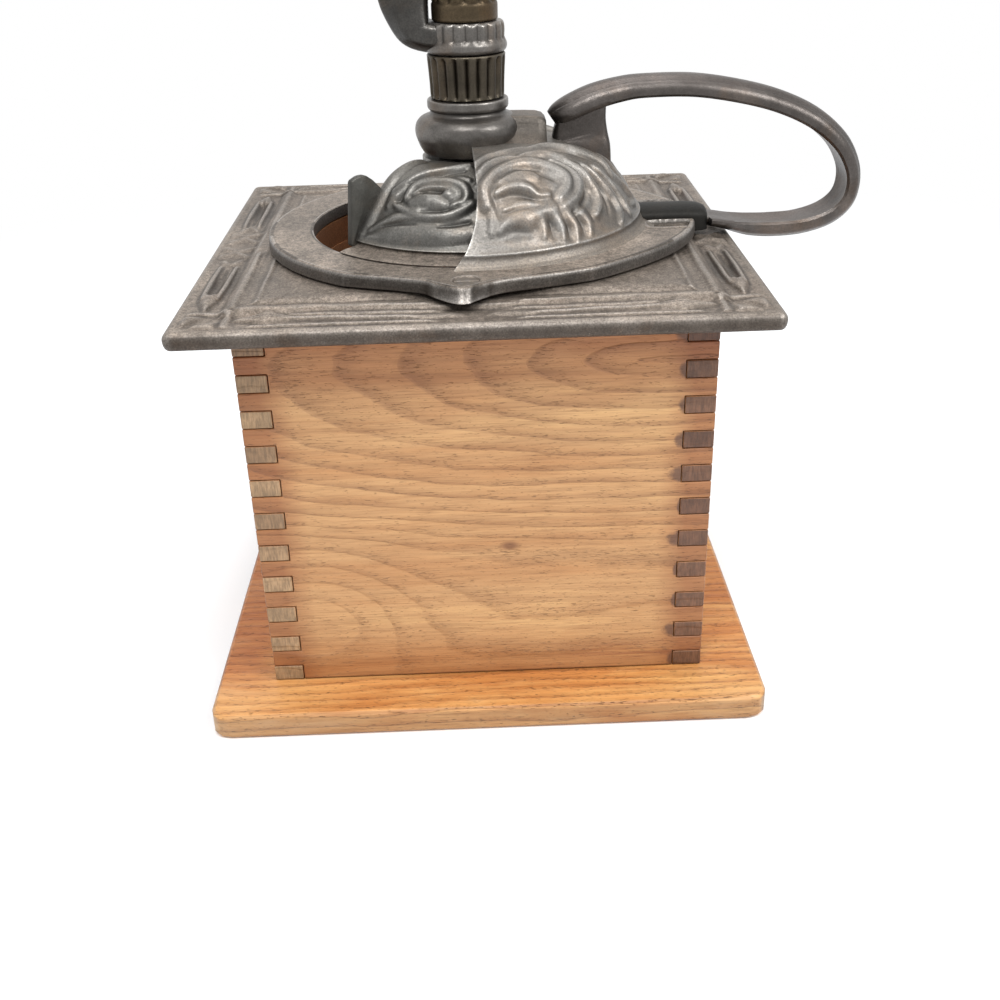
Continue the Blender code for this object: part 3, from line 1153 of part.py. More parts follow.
def make_handle(canopy):
    """Side handle: strap and foot in one, screwed to the dome from inside it."""
    handle = add_piece("side_handle", handle_mesh(), cast_iron("side_handle"))
    join(handle, foot_mesh(), "foot")
    scribe = offset_curve(dome_points(DOME_CURVE_SHARES), -SEAT_GAP * 1.5)
    profile = ([(SEAT_GAP, scribe[0][1])] + scribe
               + [(scribe[-1][0], RING_TOP), (SEAT_GAP, RING_TOP)])
    cut(handle, turned(profile, LARGE_ROUND), "scribe")
    x = HANDLE_START + HANDLE_SCREW_INSET
    inner = np.array(offset_curve(dome_points(DOME_CURVE_SHARES), DOME_WALL))
    seat = float(np.interp(x + HANDLE_SCREW_RADIUS * 1.7, inner[:, 0], inner[:, 1])) + SEAT_GAP
    head = HANDLE_SCREW_RADIUS * 1.7
    place = (x, 0, seat)
    hole = screw_hole(head, HANDLE_SCREW_RADIUS, HANDLE_SCREW_RADIUS, HANDLE_SCREW_LENGTH, upward=False)
    cut(canopy, hole, "handle_screw_hole", place)
    cut(handle, hole, "handle_screw_hole", place)
    slotted_screw("handle_screw", steel("handle_screw"), head, HANDLE_SCREW_RADIUS,
                  HANDLE_SCREW_RADIUS, HANDLE_SCREW_LENGTH, place, upward=False)


def main():
    for old in list(bpy.data.objects):
        bpy.data.objects.remove(old)
    base = make_base()
    front, back, left, right = make_box()
    make_base_screws(base, left, right)
    make_guides()
    make_drawer()
    plate = make_top_plate()
    make_bowl()
    make_outer_burr()
    make_bridge()
    canopy = make_canopy()
    make_canopy_screws(canopy, plate, front, back)
    make_shutter()
    make_handle(canopy)
    crank_axis = add_axis("crank_turn_axis")
    make_spindle_group(crank_axis)
    make_regulator(crank_axis)
    make_crank(crank_axis)
    make_crank_knob(crank_axis)


main()
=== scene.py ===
"""Box coffee mill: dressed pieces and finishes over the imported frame.

Shapes are worked out in millimetres as numpy grids and put into meshes in metres.
"""
import math

import bmesh
import bpy
import numpy as np
from mathutils import Matrix, Vector


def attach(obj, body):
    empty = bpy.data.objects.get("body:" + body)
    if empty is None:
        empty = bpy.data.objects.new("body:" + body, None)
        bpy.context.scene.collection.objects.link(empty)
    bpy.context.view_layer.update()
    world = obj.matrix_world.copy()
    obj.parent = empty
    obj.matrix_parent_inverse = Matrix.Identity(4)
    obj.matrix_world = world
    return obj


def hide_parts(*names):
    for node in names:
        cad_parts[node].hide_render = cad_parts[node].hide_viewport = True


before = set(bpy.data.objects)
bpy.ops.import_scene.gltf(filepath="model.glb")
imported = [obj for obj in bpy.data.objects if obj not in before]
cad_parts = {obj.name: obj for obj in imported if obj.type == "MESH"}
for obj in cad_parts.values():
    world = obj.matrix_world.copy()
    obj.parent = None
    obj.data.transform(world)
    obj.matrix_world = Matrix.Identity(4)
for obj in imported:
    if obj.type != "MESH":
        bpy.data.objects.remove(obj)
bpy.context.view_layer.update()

MM = 0.001

# Heights and radii in mm, as in the solids
BASE_TOP = 9.8
BOX_INNER = 68.2
FINGER = 6.35
PLATE_HALF = 95.5
PLATE_SEAT = 149.8
PLATE_TOP = 153.0
MOUTH = 58.2
RING_LOW = 153.3
RING_TOP = 158.0
DOME_FOOT = 63.5
DOME_RISE = 30.5
PIVOT_TOP = 183.22
NECK_RADIUS = 19.2
NECK_RISE = 18.6
BORE = 5.05
NUT_LOW = 202.12
NUT_TOP = 216.72
HUB_LOW = 217.02
HUB_TOP = 227.12
HUB_RADIUS = 13.7
REACH = 118.0
RISE = 56.5
CAP_LOW = 227.42
BOSS_LOW = 265.02
BOSS_TOP = 273.52
KNOB_LOW = 273.82
KNOB_LENGTH = 42.0
KNOB_RADIUS = 14.8
BOWL_FLOOR = 76.0
BURR_LOW = 76.3

# Where the shutter's fin points at rest, half open
FIN_TURN = math.radians(-140)


def ramp(value, low, high):
    """0 up to low, 1 from high on and straight between them; low may be the larger one."""
    return np.clip((value - low) / (high - low), 0, 1)


def placed(x, y, z):
    """Points from three coordinates, where a single number serves for all points."""
    return np.stack(np.broadcast_arrays(x, y, z), -1)


def round_axis(radius, turn, height):
    """Points about the Z axis: x = r cos t, y = r sin t, z = h."""
    return placed(radius * np.cos(turn), radius * np.sin(turn), height)


def grid_quads(rows, columns, rows_meet=False, columns_meet=False):
    """Faces of a grid of points: row i to i + 1 by column j to j + 1, joined where its ends meet."""
    i = np.arange(rows if rows_meet else rows - 1)[:, None]
    j = np.arange(columns if columns_meet else columns - 1)[None, :]
    near, far = j, (j + 1) % columns
    low, high = i * columns, ((i + 1) % rows) * columns
    return np.stack([low + near, low + far, high + far, high + near], -1).reshape(-1, 4)


def make_mesh(points, quads, triangles=()):
    """Puts arrays of points in mm, quads and triangles into a new mesh in metres."""
    quads = np.asarray(quads, np.int32).reshape(-1, 4)
    triangles = np.asarray(triangles, np.int32).reshape(-1, 3)
    corners = np.concatenate([quads.ravel(), triangles.ravel()])
    starts = np.concatenate([np.arange(len(quads)) * 4, quads.size + np.arange(len(triangles)) * 3])
    mesh = bpy.data.meshes.new("surface")
    mesh.vertices.add(len(points))
    mesh.vertices.foreach_set("co", (np.asarray(points) * MM).astype(np.float32).ravel())
    mesh.loops.add(len(corners))
    mesh.loops.foreach_set("vertex_index", corners.astype(np.int32))
    mesh.polygons.add(len(starts))
    mesh.polygons.foreach_set("loop_start", starts.astype(np.int32))
    mesh.update(calc_edges=True)
    mesh.validate()
    return mesh


def loft_mesh(sections, rows_meet=False):
    """Closed sections (rows, columns, 3) skinned one after another; open ends close on their middle point.

    Sections turn to the left and climb, so that the faces look outwards.
    """
    sections = np.asarray(sections, float)
    rows, columns = sections.shape[:2]
    points = sections.reshape(-1, 3)
    quads = grid_quads(rows, columns, rows_meet, True)
    if rows_meet:
        return make_mesh(points, quads)
    middles = np.stack([sections[0].mean(0), sections[-1].mean(0)])
    j = np.arange(columns)
    k = (j + 1) % columns
    first = np.full(columns, rows * columns)
    last = first + 1
    top = (rows - 1) * columns
    triangles = np.concatenate([np.stack([k, j, first], 1), np.stack([top + j, top + k, last], 1)])
    return make_mesh(np.vstack([points, middles]), quads, triangles)


def zip_edges(fine, coarse):
    """Triangles between two edges of different counts.

    Point i of the fine one (n points) meets point i (m - 1) / (n - 1) of the coarse one (m points).
    """
    i = np.arange(len(fine))
    near = np.round(i * (len(coarse) - 1) / (len(fine) - 1)).astype(int)
    steps = near[1:] != near[:-1]
    first = np.stack([fine[:-1], fine[1:], coarse[near[:-1]]], 1)
    second = np.stack([fine[1:], coarse[near[1:]], coarse[near[:-1]]], 1)[steps]
    return np.vstack([first, second])


def shell_mesh(outer, inner):
    """Both faces of a wall as open grids of equal columns, closed all round.

    Their rows climb and their columns turn left; the inner face may have fewer rows.
    """
    rows, columns = outer.shape[:2]
    count = rows * columns
    out = np.arange(count).reshape(rows, columns)
    back = count + np.arange(inner.shape[0] * columns).reshape(-1, columns)
    faces = [grid_quads(rows, columns), grid_quads(len(inner), columns)[:, ::-1] + count]
    for here, there in ((out[0], back[0]), (out[-1][::-1], back[-1][::-1])):
        faces.append(np.stack([here[1:], here[:-1], there[:-1], there[1:]], 1))
    sides = [zip_edges(out[:, 0], back[:, 0]), zip_edges(out[::-1, -1], back[::-1, -1])]
    points = np.vstack([outer.reshape(-1, 3), inner.reshape(-1, 3)])
    return make_mesh(points, np.vstack(faces), np.vstack(sides))


def run_along(line):
    """Distance of each point of a line from its start, along the line."""
    return np.concatenate([[0], np.cumsum(np.linalg.norm(np.diff(line, axis=0), axis=1))])


def smooth_line(controls, count):
    """Catmull-Rom curve through control rows, sampled evenly in its own run."""
    line = np.asarray(controls, float)
    padded = np.vstack([2 * line[0] - line[1], line, 2 * line[-1] - line[-2]])
    t = np.linspace(0, 1, 24, endpoint=False)[:, None]
    spans = []
    for p0, p1, p2, p3 in zip(padded, padded[1:], padded[2:], padded[3:]):
        spans.append((2 * p1 + (p2 - p0) * t + (2 * p0 - 5 * p1 + 4 * p2 - p3) * t ** 2
                      + (3 * p1 - 3 * p2 + p3 - p0) * t ** 3) / 2)
    fine = np.vstack(spans + [line[-1:]])
    run = run_along(fine)
    where = np.linspace(0, run[-1], count)
    return np.stack([np.interp(where, run, fine[:, k]) for k in range(line.shape[1])], 1)


def eased_line(corners, ease, steps=3):
    """A polyline with each inner corner cut back by up to ease and rounded with a parabola."""
    corners = np.asarray(corners, float)
    points = [corners[0]]
    t = np.linspace(0, 1, steps + 1)[:, None]
    for before, here, after in zip(corners, corners[1:], corners[2:]):
        into, out = here - before, after - here
        a = here - into * min(0.45, ease / max(np.linalg.norm(into), 1e-6))
        b = here + out * min(0.45, ease / max(np.linalg.norm(out), 1e-6))
        points.extend(a * (1 - t) ** 2 + 2 * here * t * (1 - t) + b * t ** 2)
    points.append(corners[-1])
    return np.array(points)


def eased_loop(corners, ease, steps=3):
    """A closed outline with every corner eased."""
    corners = np.asarray(corners, float)
    return eased_line(np.vstack([corners[-1:], corners, corners[:1]]), ease, steps)[1:-1]


def near_line(points, line):
    """Distance of each point to a polyline, and the share of its run at the nearest place."""
    best = np.full(len(points), 1e9)
    share = np.zeros(len(points))
    run = run_along(line)
    for k in range(len(line) - 1):
        along = line[k + 1] - line[k]
        t = np.clip(((points - line[k]) @ along) / max(along @ along, 1e-12), 0, 1)
        away = np.linalg.norm(points - line[k] - t[:, None] * along, axis=1)
        closer = away < best
        best[closer] = away[closer]
        share[closer] = (run[k] + t[closer] * (run[k + 1] - run[k])) / run[-1]
    return best, share


def read_field(items, field, width, kind=float):
    """One field of a mesh's vertices or edges as an array with a row for each."""
    values = np.zeros(len(items) * width, kind)
    items.foreach_get(field, values)
    return values.reshape(-1, width)


def store_wear_and_shading(mesh, rounds=4):
    """Attribute "wear_and_shading": how proud each point stands of its neighbours along its normal, smoothed.
    The iron reads it for rubbed wear, a painted highlight on proud spots and painted shade in hollows.

    Sum over edges of (p - q).n / |p - q|^2, averaged per point, about half the curvature per mm.
    """
    count = len(mesh.vertices)
    place = read_field(mesh.vertices, "co", 3) / MM
    normal = read_field(mesh.vertices, "normal", 3)
    a, b = read_field(mesh.edges, "vertices", 2, np.int32).T
    gap = place[a] - place[b]
    square = np.maximum((gap ** 2).sum(1), 0.02)

    def gather(from_b, from_a):
        return np.bincount(a, from_b, minlength=count) + np.bincount(b, from_a, minlength=count)

    degree = np.maximum(gather(None, None), 1)
    wear_and_shading = gather((gap * normal[a]).sum(1) / square, -(gap * normal[b]).sum(1) / square) / degree
    for _ in range(rounds):
        wear_and_shading = 0.5 * wear_and_shading + 0.5 * gather(wear_and_shading[b], wear_and_shading[a]) / degree
    layer = mesh.attributes.new("wear_and_shading", "FLOAT", "POINT")
    layer.data.foreach_set("value", np.clip(wear_and_shading, -1, 1).astype(np.float32))


def add_piece(name, mesh, material, body, *nodes, angle=35, worn=True):
    """Links a finished mesh as a piece that rides on a body and stands for its solids."""
    mesh.name = name
    mesh.polygons.foreach_set("use_smooth", np.ones(len(mesh.polygons), bool))
    mesh.set_sharp_from_angle(angle=math.radians(angle))
    if worn:
        store_wear_and_shading(mesh)
    piece = bpy.data.objects.new(name, mesh)
    bpy.context.scene.collection.objects.link(piece)
    mesh.materials.clear()
    mesh.materials.append(material)
    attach(piece, body)
    if nodes:
        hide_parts(*nodes)
    return piece


def merged_copy(node):
    """A CAD node's loose triangles joined into one surface, with its flat faces whole again."""
    shape = bmesh.new()
    shape.from_mesh(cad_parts[node].data)
    bmesh.ops.remove_doubles(shape, verts=shape.verts, dist=2e-6)
    bmesh.ops.dissolve_limit(shape, angle_limit=math.radians(1.0), verts=shape.verts, edges=shape.edges)
    mesh = bpy.data.meshes.new(node + "_shape")
    shape.to_mesh(mesh)
    shape.free()
    return mesh


def dress_node(node, body, material, ease, worn=False, angle=35):
    """The node's own solid with its edges eased, as a piece of its own."""
    piece = add_piece(node + "_dressed", merged_copy(node), material, body, node, angle=angle, worn=worn)
    soft = piece.modifiers.new("eased", "BEVEL")
    soft.width = ease * MM
    soft.segments = 2
    soft.limit_method = "ANGLE"
    soft.angle_limit = math.radians(angle)
    soft.harden_normals = False


def outward(mesh):
    """Turns a closed mesh's faces outwards."""
    shape = bmesh.new()
    shape.from_mesh(mesh)
    bmesh.ops.recalc_face_normals(shape, faces=shape.faces)
    shape.to_mesh(mesh)
    shape.free()
    return mesh


class Value:
    """A number or colour on its way through a node tree; the signs + - * / make math nodes."""

    def __init__(self, nodes, socket):
        self.nodes = nodes
        self.socket = socket

    def __add__(self, other):
        return self.nodes.math("ADD", self, other)

    def __sub__(self, other):
        return self.nodes.math("SUBTRACT", self, other)

    def __rsub__(self, other):
        return self.nodes.math("SUBTRACT", other, self)

    def __mul__(self, other):
        return self.nodes.math("MULTIPLY", self, other)

    def __truediv__(self, other):
        return self.nodes.math("DIVIDE", self, other)

    def at_least(self, other):
        return self.nodes.math("MAXIMUM", self, other)

    def at_most(self, other):
        return self.nodes.math("MINIMUM", self, other)

    def size(self):
        """The number without its sign."""
        return self.nodes.math("ABSOLUTE", self)

    def sway(self, amount):
        """A noise swung both ways: (value - 0.5) x amount."""
        return (self - 0.5) * amount

    def band(self, low, high, out_low=0.0, out_high=1.0, shape="LINEAR"):
        """The number between low and high mapped between two others, and kept there."""
        limits = {"Value": self, "From Min": low, "From Max": high, "To Min": out_low, "To Max": out_high}
        return self.nodes.add("MapRange", limits, interpolation_type=shape)

    def coat(self, share, tint, mode="MIX"):
        """This colour with a share of another laid over it."""
        return self.nodes.blend(share, self, tint, mode)

    def glaze(self, share, tint):
        """This colour darkened by a share of a tint."""
        return self.coat(share, tint, "MULTIPLY")


class Nodes:
    """A node tree under way."""

    def __init__(self, tree):
        self.tree = tree

    def add(self, kind, inputs=None, output=0, **settings):
        """A new node with its inputs filled; gives one of its outputs, if it has any."""
        node = self.tree.nodes.new("ShaderNode" + kind)
        for key, value in settings.items():
            setattr(node, key, value)
        for socket, value in (inputs or {}).items():
            self.plug(node.inputs[socket], value)
        return Value(self, node.outputs[output]) if node.outputs else None

    def plug(self, socket, value):
        if isinstance(value, Value):
            self.tree.links.new(value.socket, socket)
        else:
            socket.default_value = value

    def math(self, operation, a, b=0.0):
        return self.add("Math", {0: a, 1: b}, operation=operation)

    def length(self, a, b):
        """sqrt(a^2 + b^2)."""
        return self.math("SQRT", a * a + b * b)

    def noise(self, where, scale, detail=3.0, rough=0.55, twist=0.0):
        return self.add("TexNoise", {"Vector": where, "Scale": scale, "Detail": detail, "Roughness": rough,
                                     "Distortion": twist})

    def blend(self, share, a, b, mode="MIX"):
        a, b = (colour if isinstance(colour, Value) else (*colour, 1) for colour in (a, b))
        return self.add("Mix", {"Factor": share, 6: a, 7: b}, 2, data_type="RGBA", blend_type=mode)

    def split(self, vector):
        node = self.add("SeparateXYZ", {0: vector}).socket.node
        return [Value(self, part) for part in node.outputs]

    def seen_directly(self):
        """1 on rays from the camera, straight, mirrored or through glass, and 0 on those that light."""
        seen = self.add("LightPath", output="Is Camera Ray")
        for kind in ("Is Transmission Ray", "Is Glossy Ray"):
            seen = seen.at_least(self.add("LightPath", output=kind))
        return seen


class Finish(Nodes):
    """One material under way: a Principled shader and the nodes that feed it."""

    def __init__(self, name, **plain):
        self.material = bpy.data.materials.new(name)
        self.material.use_nodes = True
        super().__init__(self.material.node_tree)
        self.shader = self.tree.nodes["Principled BSDF"]
        for socket, value in plain.items():
            self.shader.inputs[socket.replace("_", " ")].default_value = value
        self.place = self.add("TexCoord", output="Object")

    def stretch(self, *scale):
        """The object's own coordinates, scaled along each axis."""
        return self.add("Mapping", {"Vector": self.place, "Scale": scale})

    def normal(self):
        return self.split(self.add("NewGeometry", output="Normal"))

    def done(self, colour, rough, *layers):
        """Colour, roughness and bumps of (height, distance in m), each over the last."""
        bumps = {}
        for height, distance in layers:
            bumps.update({"Strength": 1.0, "Distance": distance, "Height": height})
            bumps["Normal"] = self.add("Bump", bumps)
        for socket, value in (("Base Color", colour), ("Roughness", rough), ("Normal", bumps["Normal"])):
            self.plug(self.shader.inputs[socket], value)
        return self.material


def toned(colour, by):
    """A colour times one number, or times one for each of red, green and blue."""
    return tuple(np.multiply(colour, by))


def iron(name, body, bright, dust, dusty=0.5, grain=1.0, metal=0.55, rough=0.46, shine=0.7, sense=2.6,
         skirt=0.0):
    """Old cast iron: sandy grain, brown blotches, rubbed high spots that are brightest on faces turned up
    (real wear with a painted highlight), painted shade in hollows, and dust in hollows and on level faces.

    body, bright and dust are its colours; bright is the rubbed metal with its painted highlight. dusty, grain
    and shine say how much dust, sand and bare metal show; sense says how slight a bend counts as worn or
    shaded; skirt is the dust in a low band over the ring's top.
    """
    f = Finish(name, Metallic=metal)
    wear_and_shading = f.add("Attribute", output="Fac", attribute_name="wear_and_shading")
    blotch = f.noise(f.place, 70.0, 4.0, 0.6, 0.3)
    cloud = f.noise(f.place, 16.0, 3.0)
    brown = f.noise(f.place, 38.0, 5.0, 0.65, 0.5)
    sand = f.noise(f.place, 1700.0, 2.0, 0.6)
    pits = f.noise(f.place, 560.0, 3.0, 0.65)
    upward = f.normal()[2]

    ground = f.blend(blotch.band(0.3, 0.7), toned(body, 0.66), toned(body, 1.3))
    ground = ground.coat(brown.band(0.5, 0.72, 0.0, 0.6), toned(body, (1.5, 1.15, 0.85)))
    proud = wear_and_shading * sense + blotch.sway(0.9)
    # Rubbed high spots: real wear, made brightest on faces turned up as a painted highlight.
    rubbed_and_highlight = proud.band(0.0, 1.1, 0.0, shine, "SMOOTHSTEP") * upward.band(-0.2, 0.6, 0.3, 1.0)
    # Hollows get a darker copy of the iron's own colour: painted shade. The same mask also gathers dust.
    hollow_shade_and_dust = (wear_and_shading * (-1.2 * sense)).band(0.05, 0.9)
    colour = ground.coat(rubbed_and_highlight, bright).coat(hollow_shade_and_dust * 0.75, toned(body, 0.32))

    level = upward.band(0.55, 0.98, 0.0, 1.0, "SMOOTHSTEP") * cloud.band(0.3, 0.65, 0.45, 1.0)
    settled = (hollow_shade_and_dust * 0.3).at_least(level) * dusty
    settled = settled * pits.band(0.3, 0.6, 0.35, 1.0) * brown.band(0.34, 0.62, 0.5, 1.0)
    settled = settled * (1.0 - rubbed_and_highlight * 0.6) * (1.0 - hollow_shade_and_dust * 0.55)
    if skirt:
        height = f.split(f.place)[2] + brown.sway(0.005)
        at_foot = height.band((RING_TOP + 4.2) * MM, (RING_TOP + 0.8) * MM, 0.0, skirt)
        settled = settled.at_least(at_foot * pits.band(0.3, 0.6, 0.5, 1.0))
    colour = colour.coat(settled, dust)
    colour = colour.coat(sand.band(0.4, 0.68, 0.0, 0.5 * grain), toned(body, 0.4))
    colour = colour.coat(sand.band(0.34, 0.18, 0.0, 0.3 * grain), dust)
    dull = f.blend(rubbed_and_highlight, (rough + 0.04,) * 3, (rough - 0.08,) * 3).coat(settled, (0.62,) * 3)
    return f.done(colour, dull + sand.sway(0.2),
                  (cloud, 0.0012), (blotch, 0.00035), (pits, 0.00011 * grain), (sand, 0.00004 * grain))


def box_stain_and_shade(colour, a, z, amount, patch, stain):
    """Wood darker under the plate, partly stain and partly painted shadow of the plate; darker along both
    sides and towards the foot; and a painted shadow line in the seam on the base.
    """
    # Band under the plate: partly stain, partly painted shadow of the plate.
    colour = colour.glaze((z + stain.sway(0.05)).band(0.112, 0.145, 0.0, amount), (0.79, 0.5, 0.34))
    # Darkest at the very top under the plate's edge: painted shadow, with stain.
    colour = colour.glaze(z.band(0.139, 0.149, 0.0, amount), (0.66, 0.54, 0.47))
    colour = colour.glaze((z + patch.sway(0.025)).band(0.03, 0.011, 0.0, amount * 0.55), (0.8, 0.62, 0.5))
    colour = colour.glaze((a + patch.sway(0.01)).size().band(0.061, 0.071, 0.0, amount), (0.65, 0.5, 0.43))
    # Dark line in the seam on the base: painted shadow.
    return colour.glaze(z.band((BASE_TOP + 1.1) * MM, (BASE_TOP + 0.5) * MM, 0.0, 0.85), (0.3, 0.2, 0.15))


def knot_and_streak(f, colour, a, z, knot, strand):
    """A small knot, and a dark streak low on the right."""
    away = f.length((a - knot[0]) * 0.55, z - knot[1])
    colour = colour.coat(away.band(0.0005, 0.0026, 0.85, 0.0, "SMOOTHSTEP"), (0.16, 0.06, 0.022))
    streak = z.band(0.011, 0.016) * z.band(0.023, 0.018) * (a.band(0.018, 0.045) * strand.band(0.36, 0.55))
    return colour.coat(streak * 0.6, (0.25, 0.095, 0.045))


def shaded_finger_gaps(f, colour, a, z, deepest):
    """Painted shade in the gaps of uneven depth at the inner ends of the right fingers: half ellipses with a
    rough rim.
    """
    step = (z - BASE_TOP * MM) / (2 * FINGER * MM)
    share = (f.math("FRACT", step) - 0.25) / 0.235
    which = f.noise(f.add("CombineXYZ", {0: f.math("FLOOR", step)}), 1.37, 0.0)
    inward = (BOX_INNER * MM - a).at_least(0.0) / which.band(0.38, 0.62, 0.0006, deepest)
    rim = inward * inward + share * share + f.noise(f.place, 420.0, 3.0, 0.6).sway(1.6)
    # The gaps are coloured near black: painted shade.
    return colour.coat(rim.band(0.45, 1.2, 0.85, 0.0), (0.1, 0.046, 0.027))


def end_grain(f, z, end):
    """Sawn ends of the fingers: fine upright comb, stains, and some fingers darker than others."""
    comb = f.noise(f.stretch(1500.0, 1500.0, 260.0), 1.0, 3.0, 0.6)
    colour = f.blend(comb.band(0.35, 0.65), toned(end, 0.68), toned(end, 1.3))
    colour = colour.coat(f.noise(f.place, 120.0, 3.0, 0.6).band(0.4, 0.65, 0.0, 0.55), toned(end, 0.55))
    finger = f.math("FLOOR", (z - BASE_TOP * MM) / (FINGER * MM))
    tooth = f.noise(f.add("CombineXYZ", {1: finger}), 1.73, 0.0)
    return colour.glaze(tooth.band(0.5, 0.68, 0.0, 0.7), (0.5, 0.42, 0.4))


def base_wear_and_shade(colour, a, across, facing, worn):
    """The base board's rubbed and darkened patches, its dark left strip (partly stain, partly painted shadow
    of the box) and its greyer edges.
    """
    colour = colour.glaze(worn.band(0.47, 0.62, 0.0, 0.75), (0.78, 0.58, 0.42))
    colour = colour.coat(worn.band(0.46, 0.34, 0.0, 0.5), (0.76, 0.47, 0.22))
    # Dark strip at the front left beside the box: partly stain, partly painted shadow of the box.
    strip = (a + worn.sway(0.05)).band(-0.074, -0.088, 0.0, 0.8) * across.band(-0.093, -0.07)
    colour = colour.glaze(strip, (0.66, 0.43, 0.33))
    return colour.glaze(facing.size().band(0.5, 0.9) * 0.9, (0.6, 0.62, 0.72))


def wood(name, along, heart, early, late, end, ring=0.0056, squeeze=3.6, knee=0.07, lobe=None, pore=1.0,
         stain_and_shade=0.0, wave=0.009, gap_shade=0.0, knot=None, level=False):
    """Sawn board: growth lines nest round a heart at (along, height), open to one side like a cathedral arch.

    e = sqrt((min(a - a0, 0) / squeeze)^2 + (z - z0)^2), slower past the knee, plus a lobe; lines are e modulo
    ring. A level board reads its width and height together in place of z.
    """
    f = Finish(name)
    axis = {"X": 0, "Y": 1}[along]
    place = f.split(f.place)
    normal = f.normal()
    a, z = place[axis], place[2]
    if level:
        z = place[1] + z

    def grain(long_way, across, detail=3.0, rough=0.6, scale=1.0, twist=0.0):
        """Noise drawn out along the board."""
        stretch = [across] * 3
        stretch[axis] = long_way
        return f.noise(f.stretch(*stretch), scale, detail, rough, twist)

    patch = grain(11.0, 30.0, 4.0)
    tone = grain(7.0, 85.0, 4.0, 0.65)
    strand = grain(22.0, 620.0, 4.0)
    hair = grain(70.0, 1900.0)
    speck = grain(420.0, 3600.0, 2.0, 0.5)
    pale = grain(14.0, 200.0, 3.0, 0.5)

    e = f.length((a - heart[0]).at_most(0.0) / squeeze, z - heart[1])
    e = e.at_most(knee) + (e - knee).at_least(0.0) * 0.3
    if lobe:
        at, high, wide, tall, rise = lobe
        p, q = (a - at) / wide, (z - high) / tall
        e = e + f.math("EXPONENT", (p * p + q * q) * -1.0) * rise
    e = e + grain(9.0, 26.0, 3.0, 0.55).sway(wave) + grain(60.0, 130.0).sway(0.28 * ring)
    turn = f.math("FRACT", e / ring)
    year = turn.band(0.05, 1.0) * turn.band(0.97, 1.0, 1.0, 0.0)
    line = turn.band(0.45, 0.92, 0.0, 1.0, "SMOOTHSTEP") * turn.band(0.9, 1.0, 1.0, 0.0)
    fainter = e.band(knee * 0.85, knee * 1.25, 1.0, 0.45)

    colour = f.blend(year * (fainter * 0.26), early, late)
    colour = colour.coat(line * fainter * pale.band(0.34, 0.64, 0.1, 0.55), late)
    colour = colour.glaze(tone.band(0.5, 0.72, 0.0, 0.6), (0.74, 0.56, 0.42))
    colour = colour.coat(tone.band(0.46, 0.3, 0.0, 0.4), (1.0, 0.98, 0.9), "SOFT_LIGHT")
    colour = colour.coat(strand.band(0.42, 0.72, 0.0, 0.3), toned(late, 0.8))
    colour = colour.coat(strand.band(0.42, 0.25, 0.0, 0.25), toned(early, 1.18))
    colour = colour.coat(hair.band(0.5, 0.7, 0.0, 0.45), toned(late, 0.7))
    pores = speck - (line * 0.7 + patch * 0.5).band(0.1, 0.9, 0.68, 0.6)
    pores = pores.band(0.0, 0.06, 0.0, min(1.0, 0.5 * pore))
    colour = colour.coat(pores, toned(late, 0.42))
    if stain_and_shade:
        colour = box_stain_and_shade(colour, a, z, stain_and_shade, patch, grain(8.0, 20.0))
    if knot:
        colour = knot_and_streak(f, colour, a, z, knot, strand)
    if gap_shade:
        colour = shaded_finger_gaps(f, colour, a, z, gap_shade)
    colour = colour.coat(normal[axis].size().band(0.6, 0.8), end_grain(f, place[2], end))
    if level:
        colour = base_wear_and_shade(colour, a, place[1], normal[1], grain(10.0, 34.0, 4.0, 0.65, 1.3, 0.4))
    grime = f.noise(f.place, 48.0, 4.0, 0.6)
    colour = colour.glaze(grime.band(0.52, 0.78, 0.0, 0.3), (0.68, 0.58, 0.5))
    return f.done(colour, hair.band(0.3, 0.7, 0.42, 0.6),
                  (line, 0.00016), (strand, 0.00014), (1.0 - pores, 0.0002 * pore))


def steel(name, colour, rough):
    """Dull machined steel with fine scratches and a brown film."""
    f = Finish(name, Metallic=0.9)
    film = f.noise(f.place, 180.0, 4.0, 0.6)
    scratch = f.noise(f.stretch(300.0, 300.0, 2600.0), 1.0, 3.0, 0.6)
    return f.done(f.blend(film.band(0.4, 0.7), colour, toned(colour, (0.6, 0.48, 0.36))),
                  scratch.band(0.3, 0.7, rough - 0.1, rough + 0.12) + film.band(0.4, 0.8, 0.0, 0.2),
                  (scratch, 0.00003), (film, 0.00008))


def turned_wood(name, colour):
    """Dark turned beech: grain up the axis, fine turning marks, worn on the swell."""
    f = Finish(name, Coat_Weight=0.12, Coat_Roughness=0.3)
    fibres = f.noise(f.stretch(420.0, 420.0, 26.0), 1.0, 4.0, 0.6)
    streak = f.noise(f.stretch(120.0, 120.0, 8.0), 1.0, 2.0)
    turning = f.noise(f.stretch(6.0, 6.0, 900.0), 1.0, 2.0, 0.5)
    rub = f.noise(f.place, 60.0, 3.0)
    worn = f.blend(streak.band(0.35, 0.65), toned(colour, 0.6), toned(colour, 1.5))
    worn = worn.coat(fibres.band(0.52, 0.7, 0.0, 0.6), toned(colour, 0.3))
    worn = worn.coat(rub.band(0.5, 0.75, 0.0, 0.35), toned(colour, 2.1))
    return f.done(worn, rub.band(0.3, 0.7, 0.42, 0.28), (turning, 0.00005), (fibres, 0.00008))


PLATE_IRON = iron("plate_iron", (0.07, 0.054, 0.042), (0.46, 0.42, 0.38), (0.53, 0.45, 0.375),
                  dusty=0.84, grain=1.1, metal=0.7, rough=0.42, shine=0.5, sense=7.0)
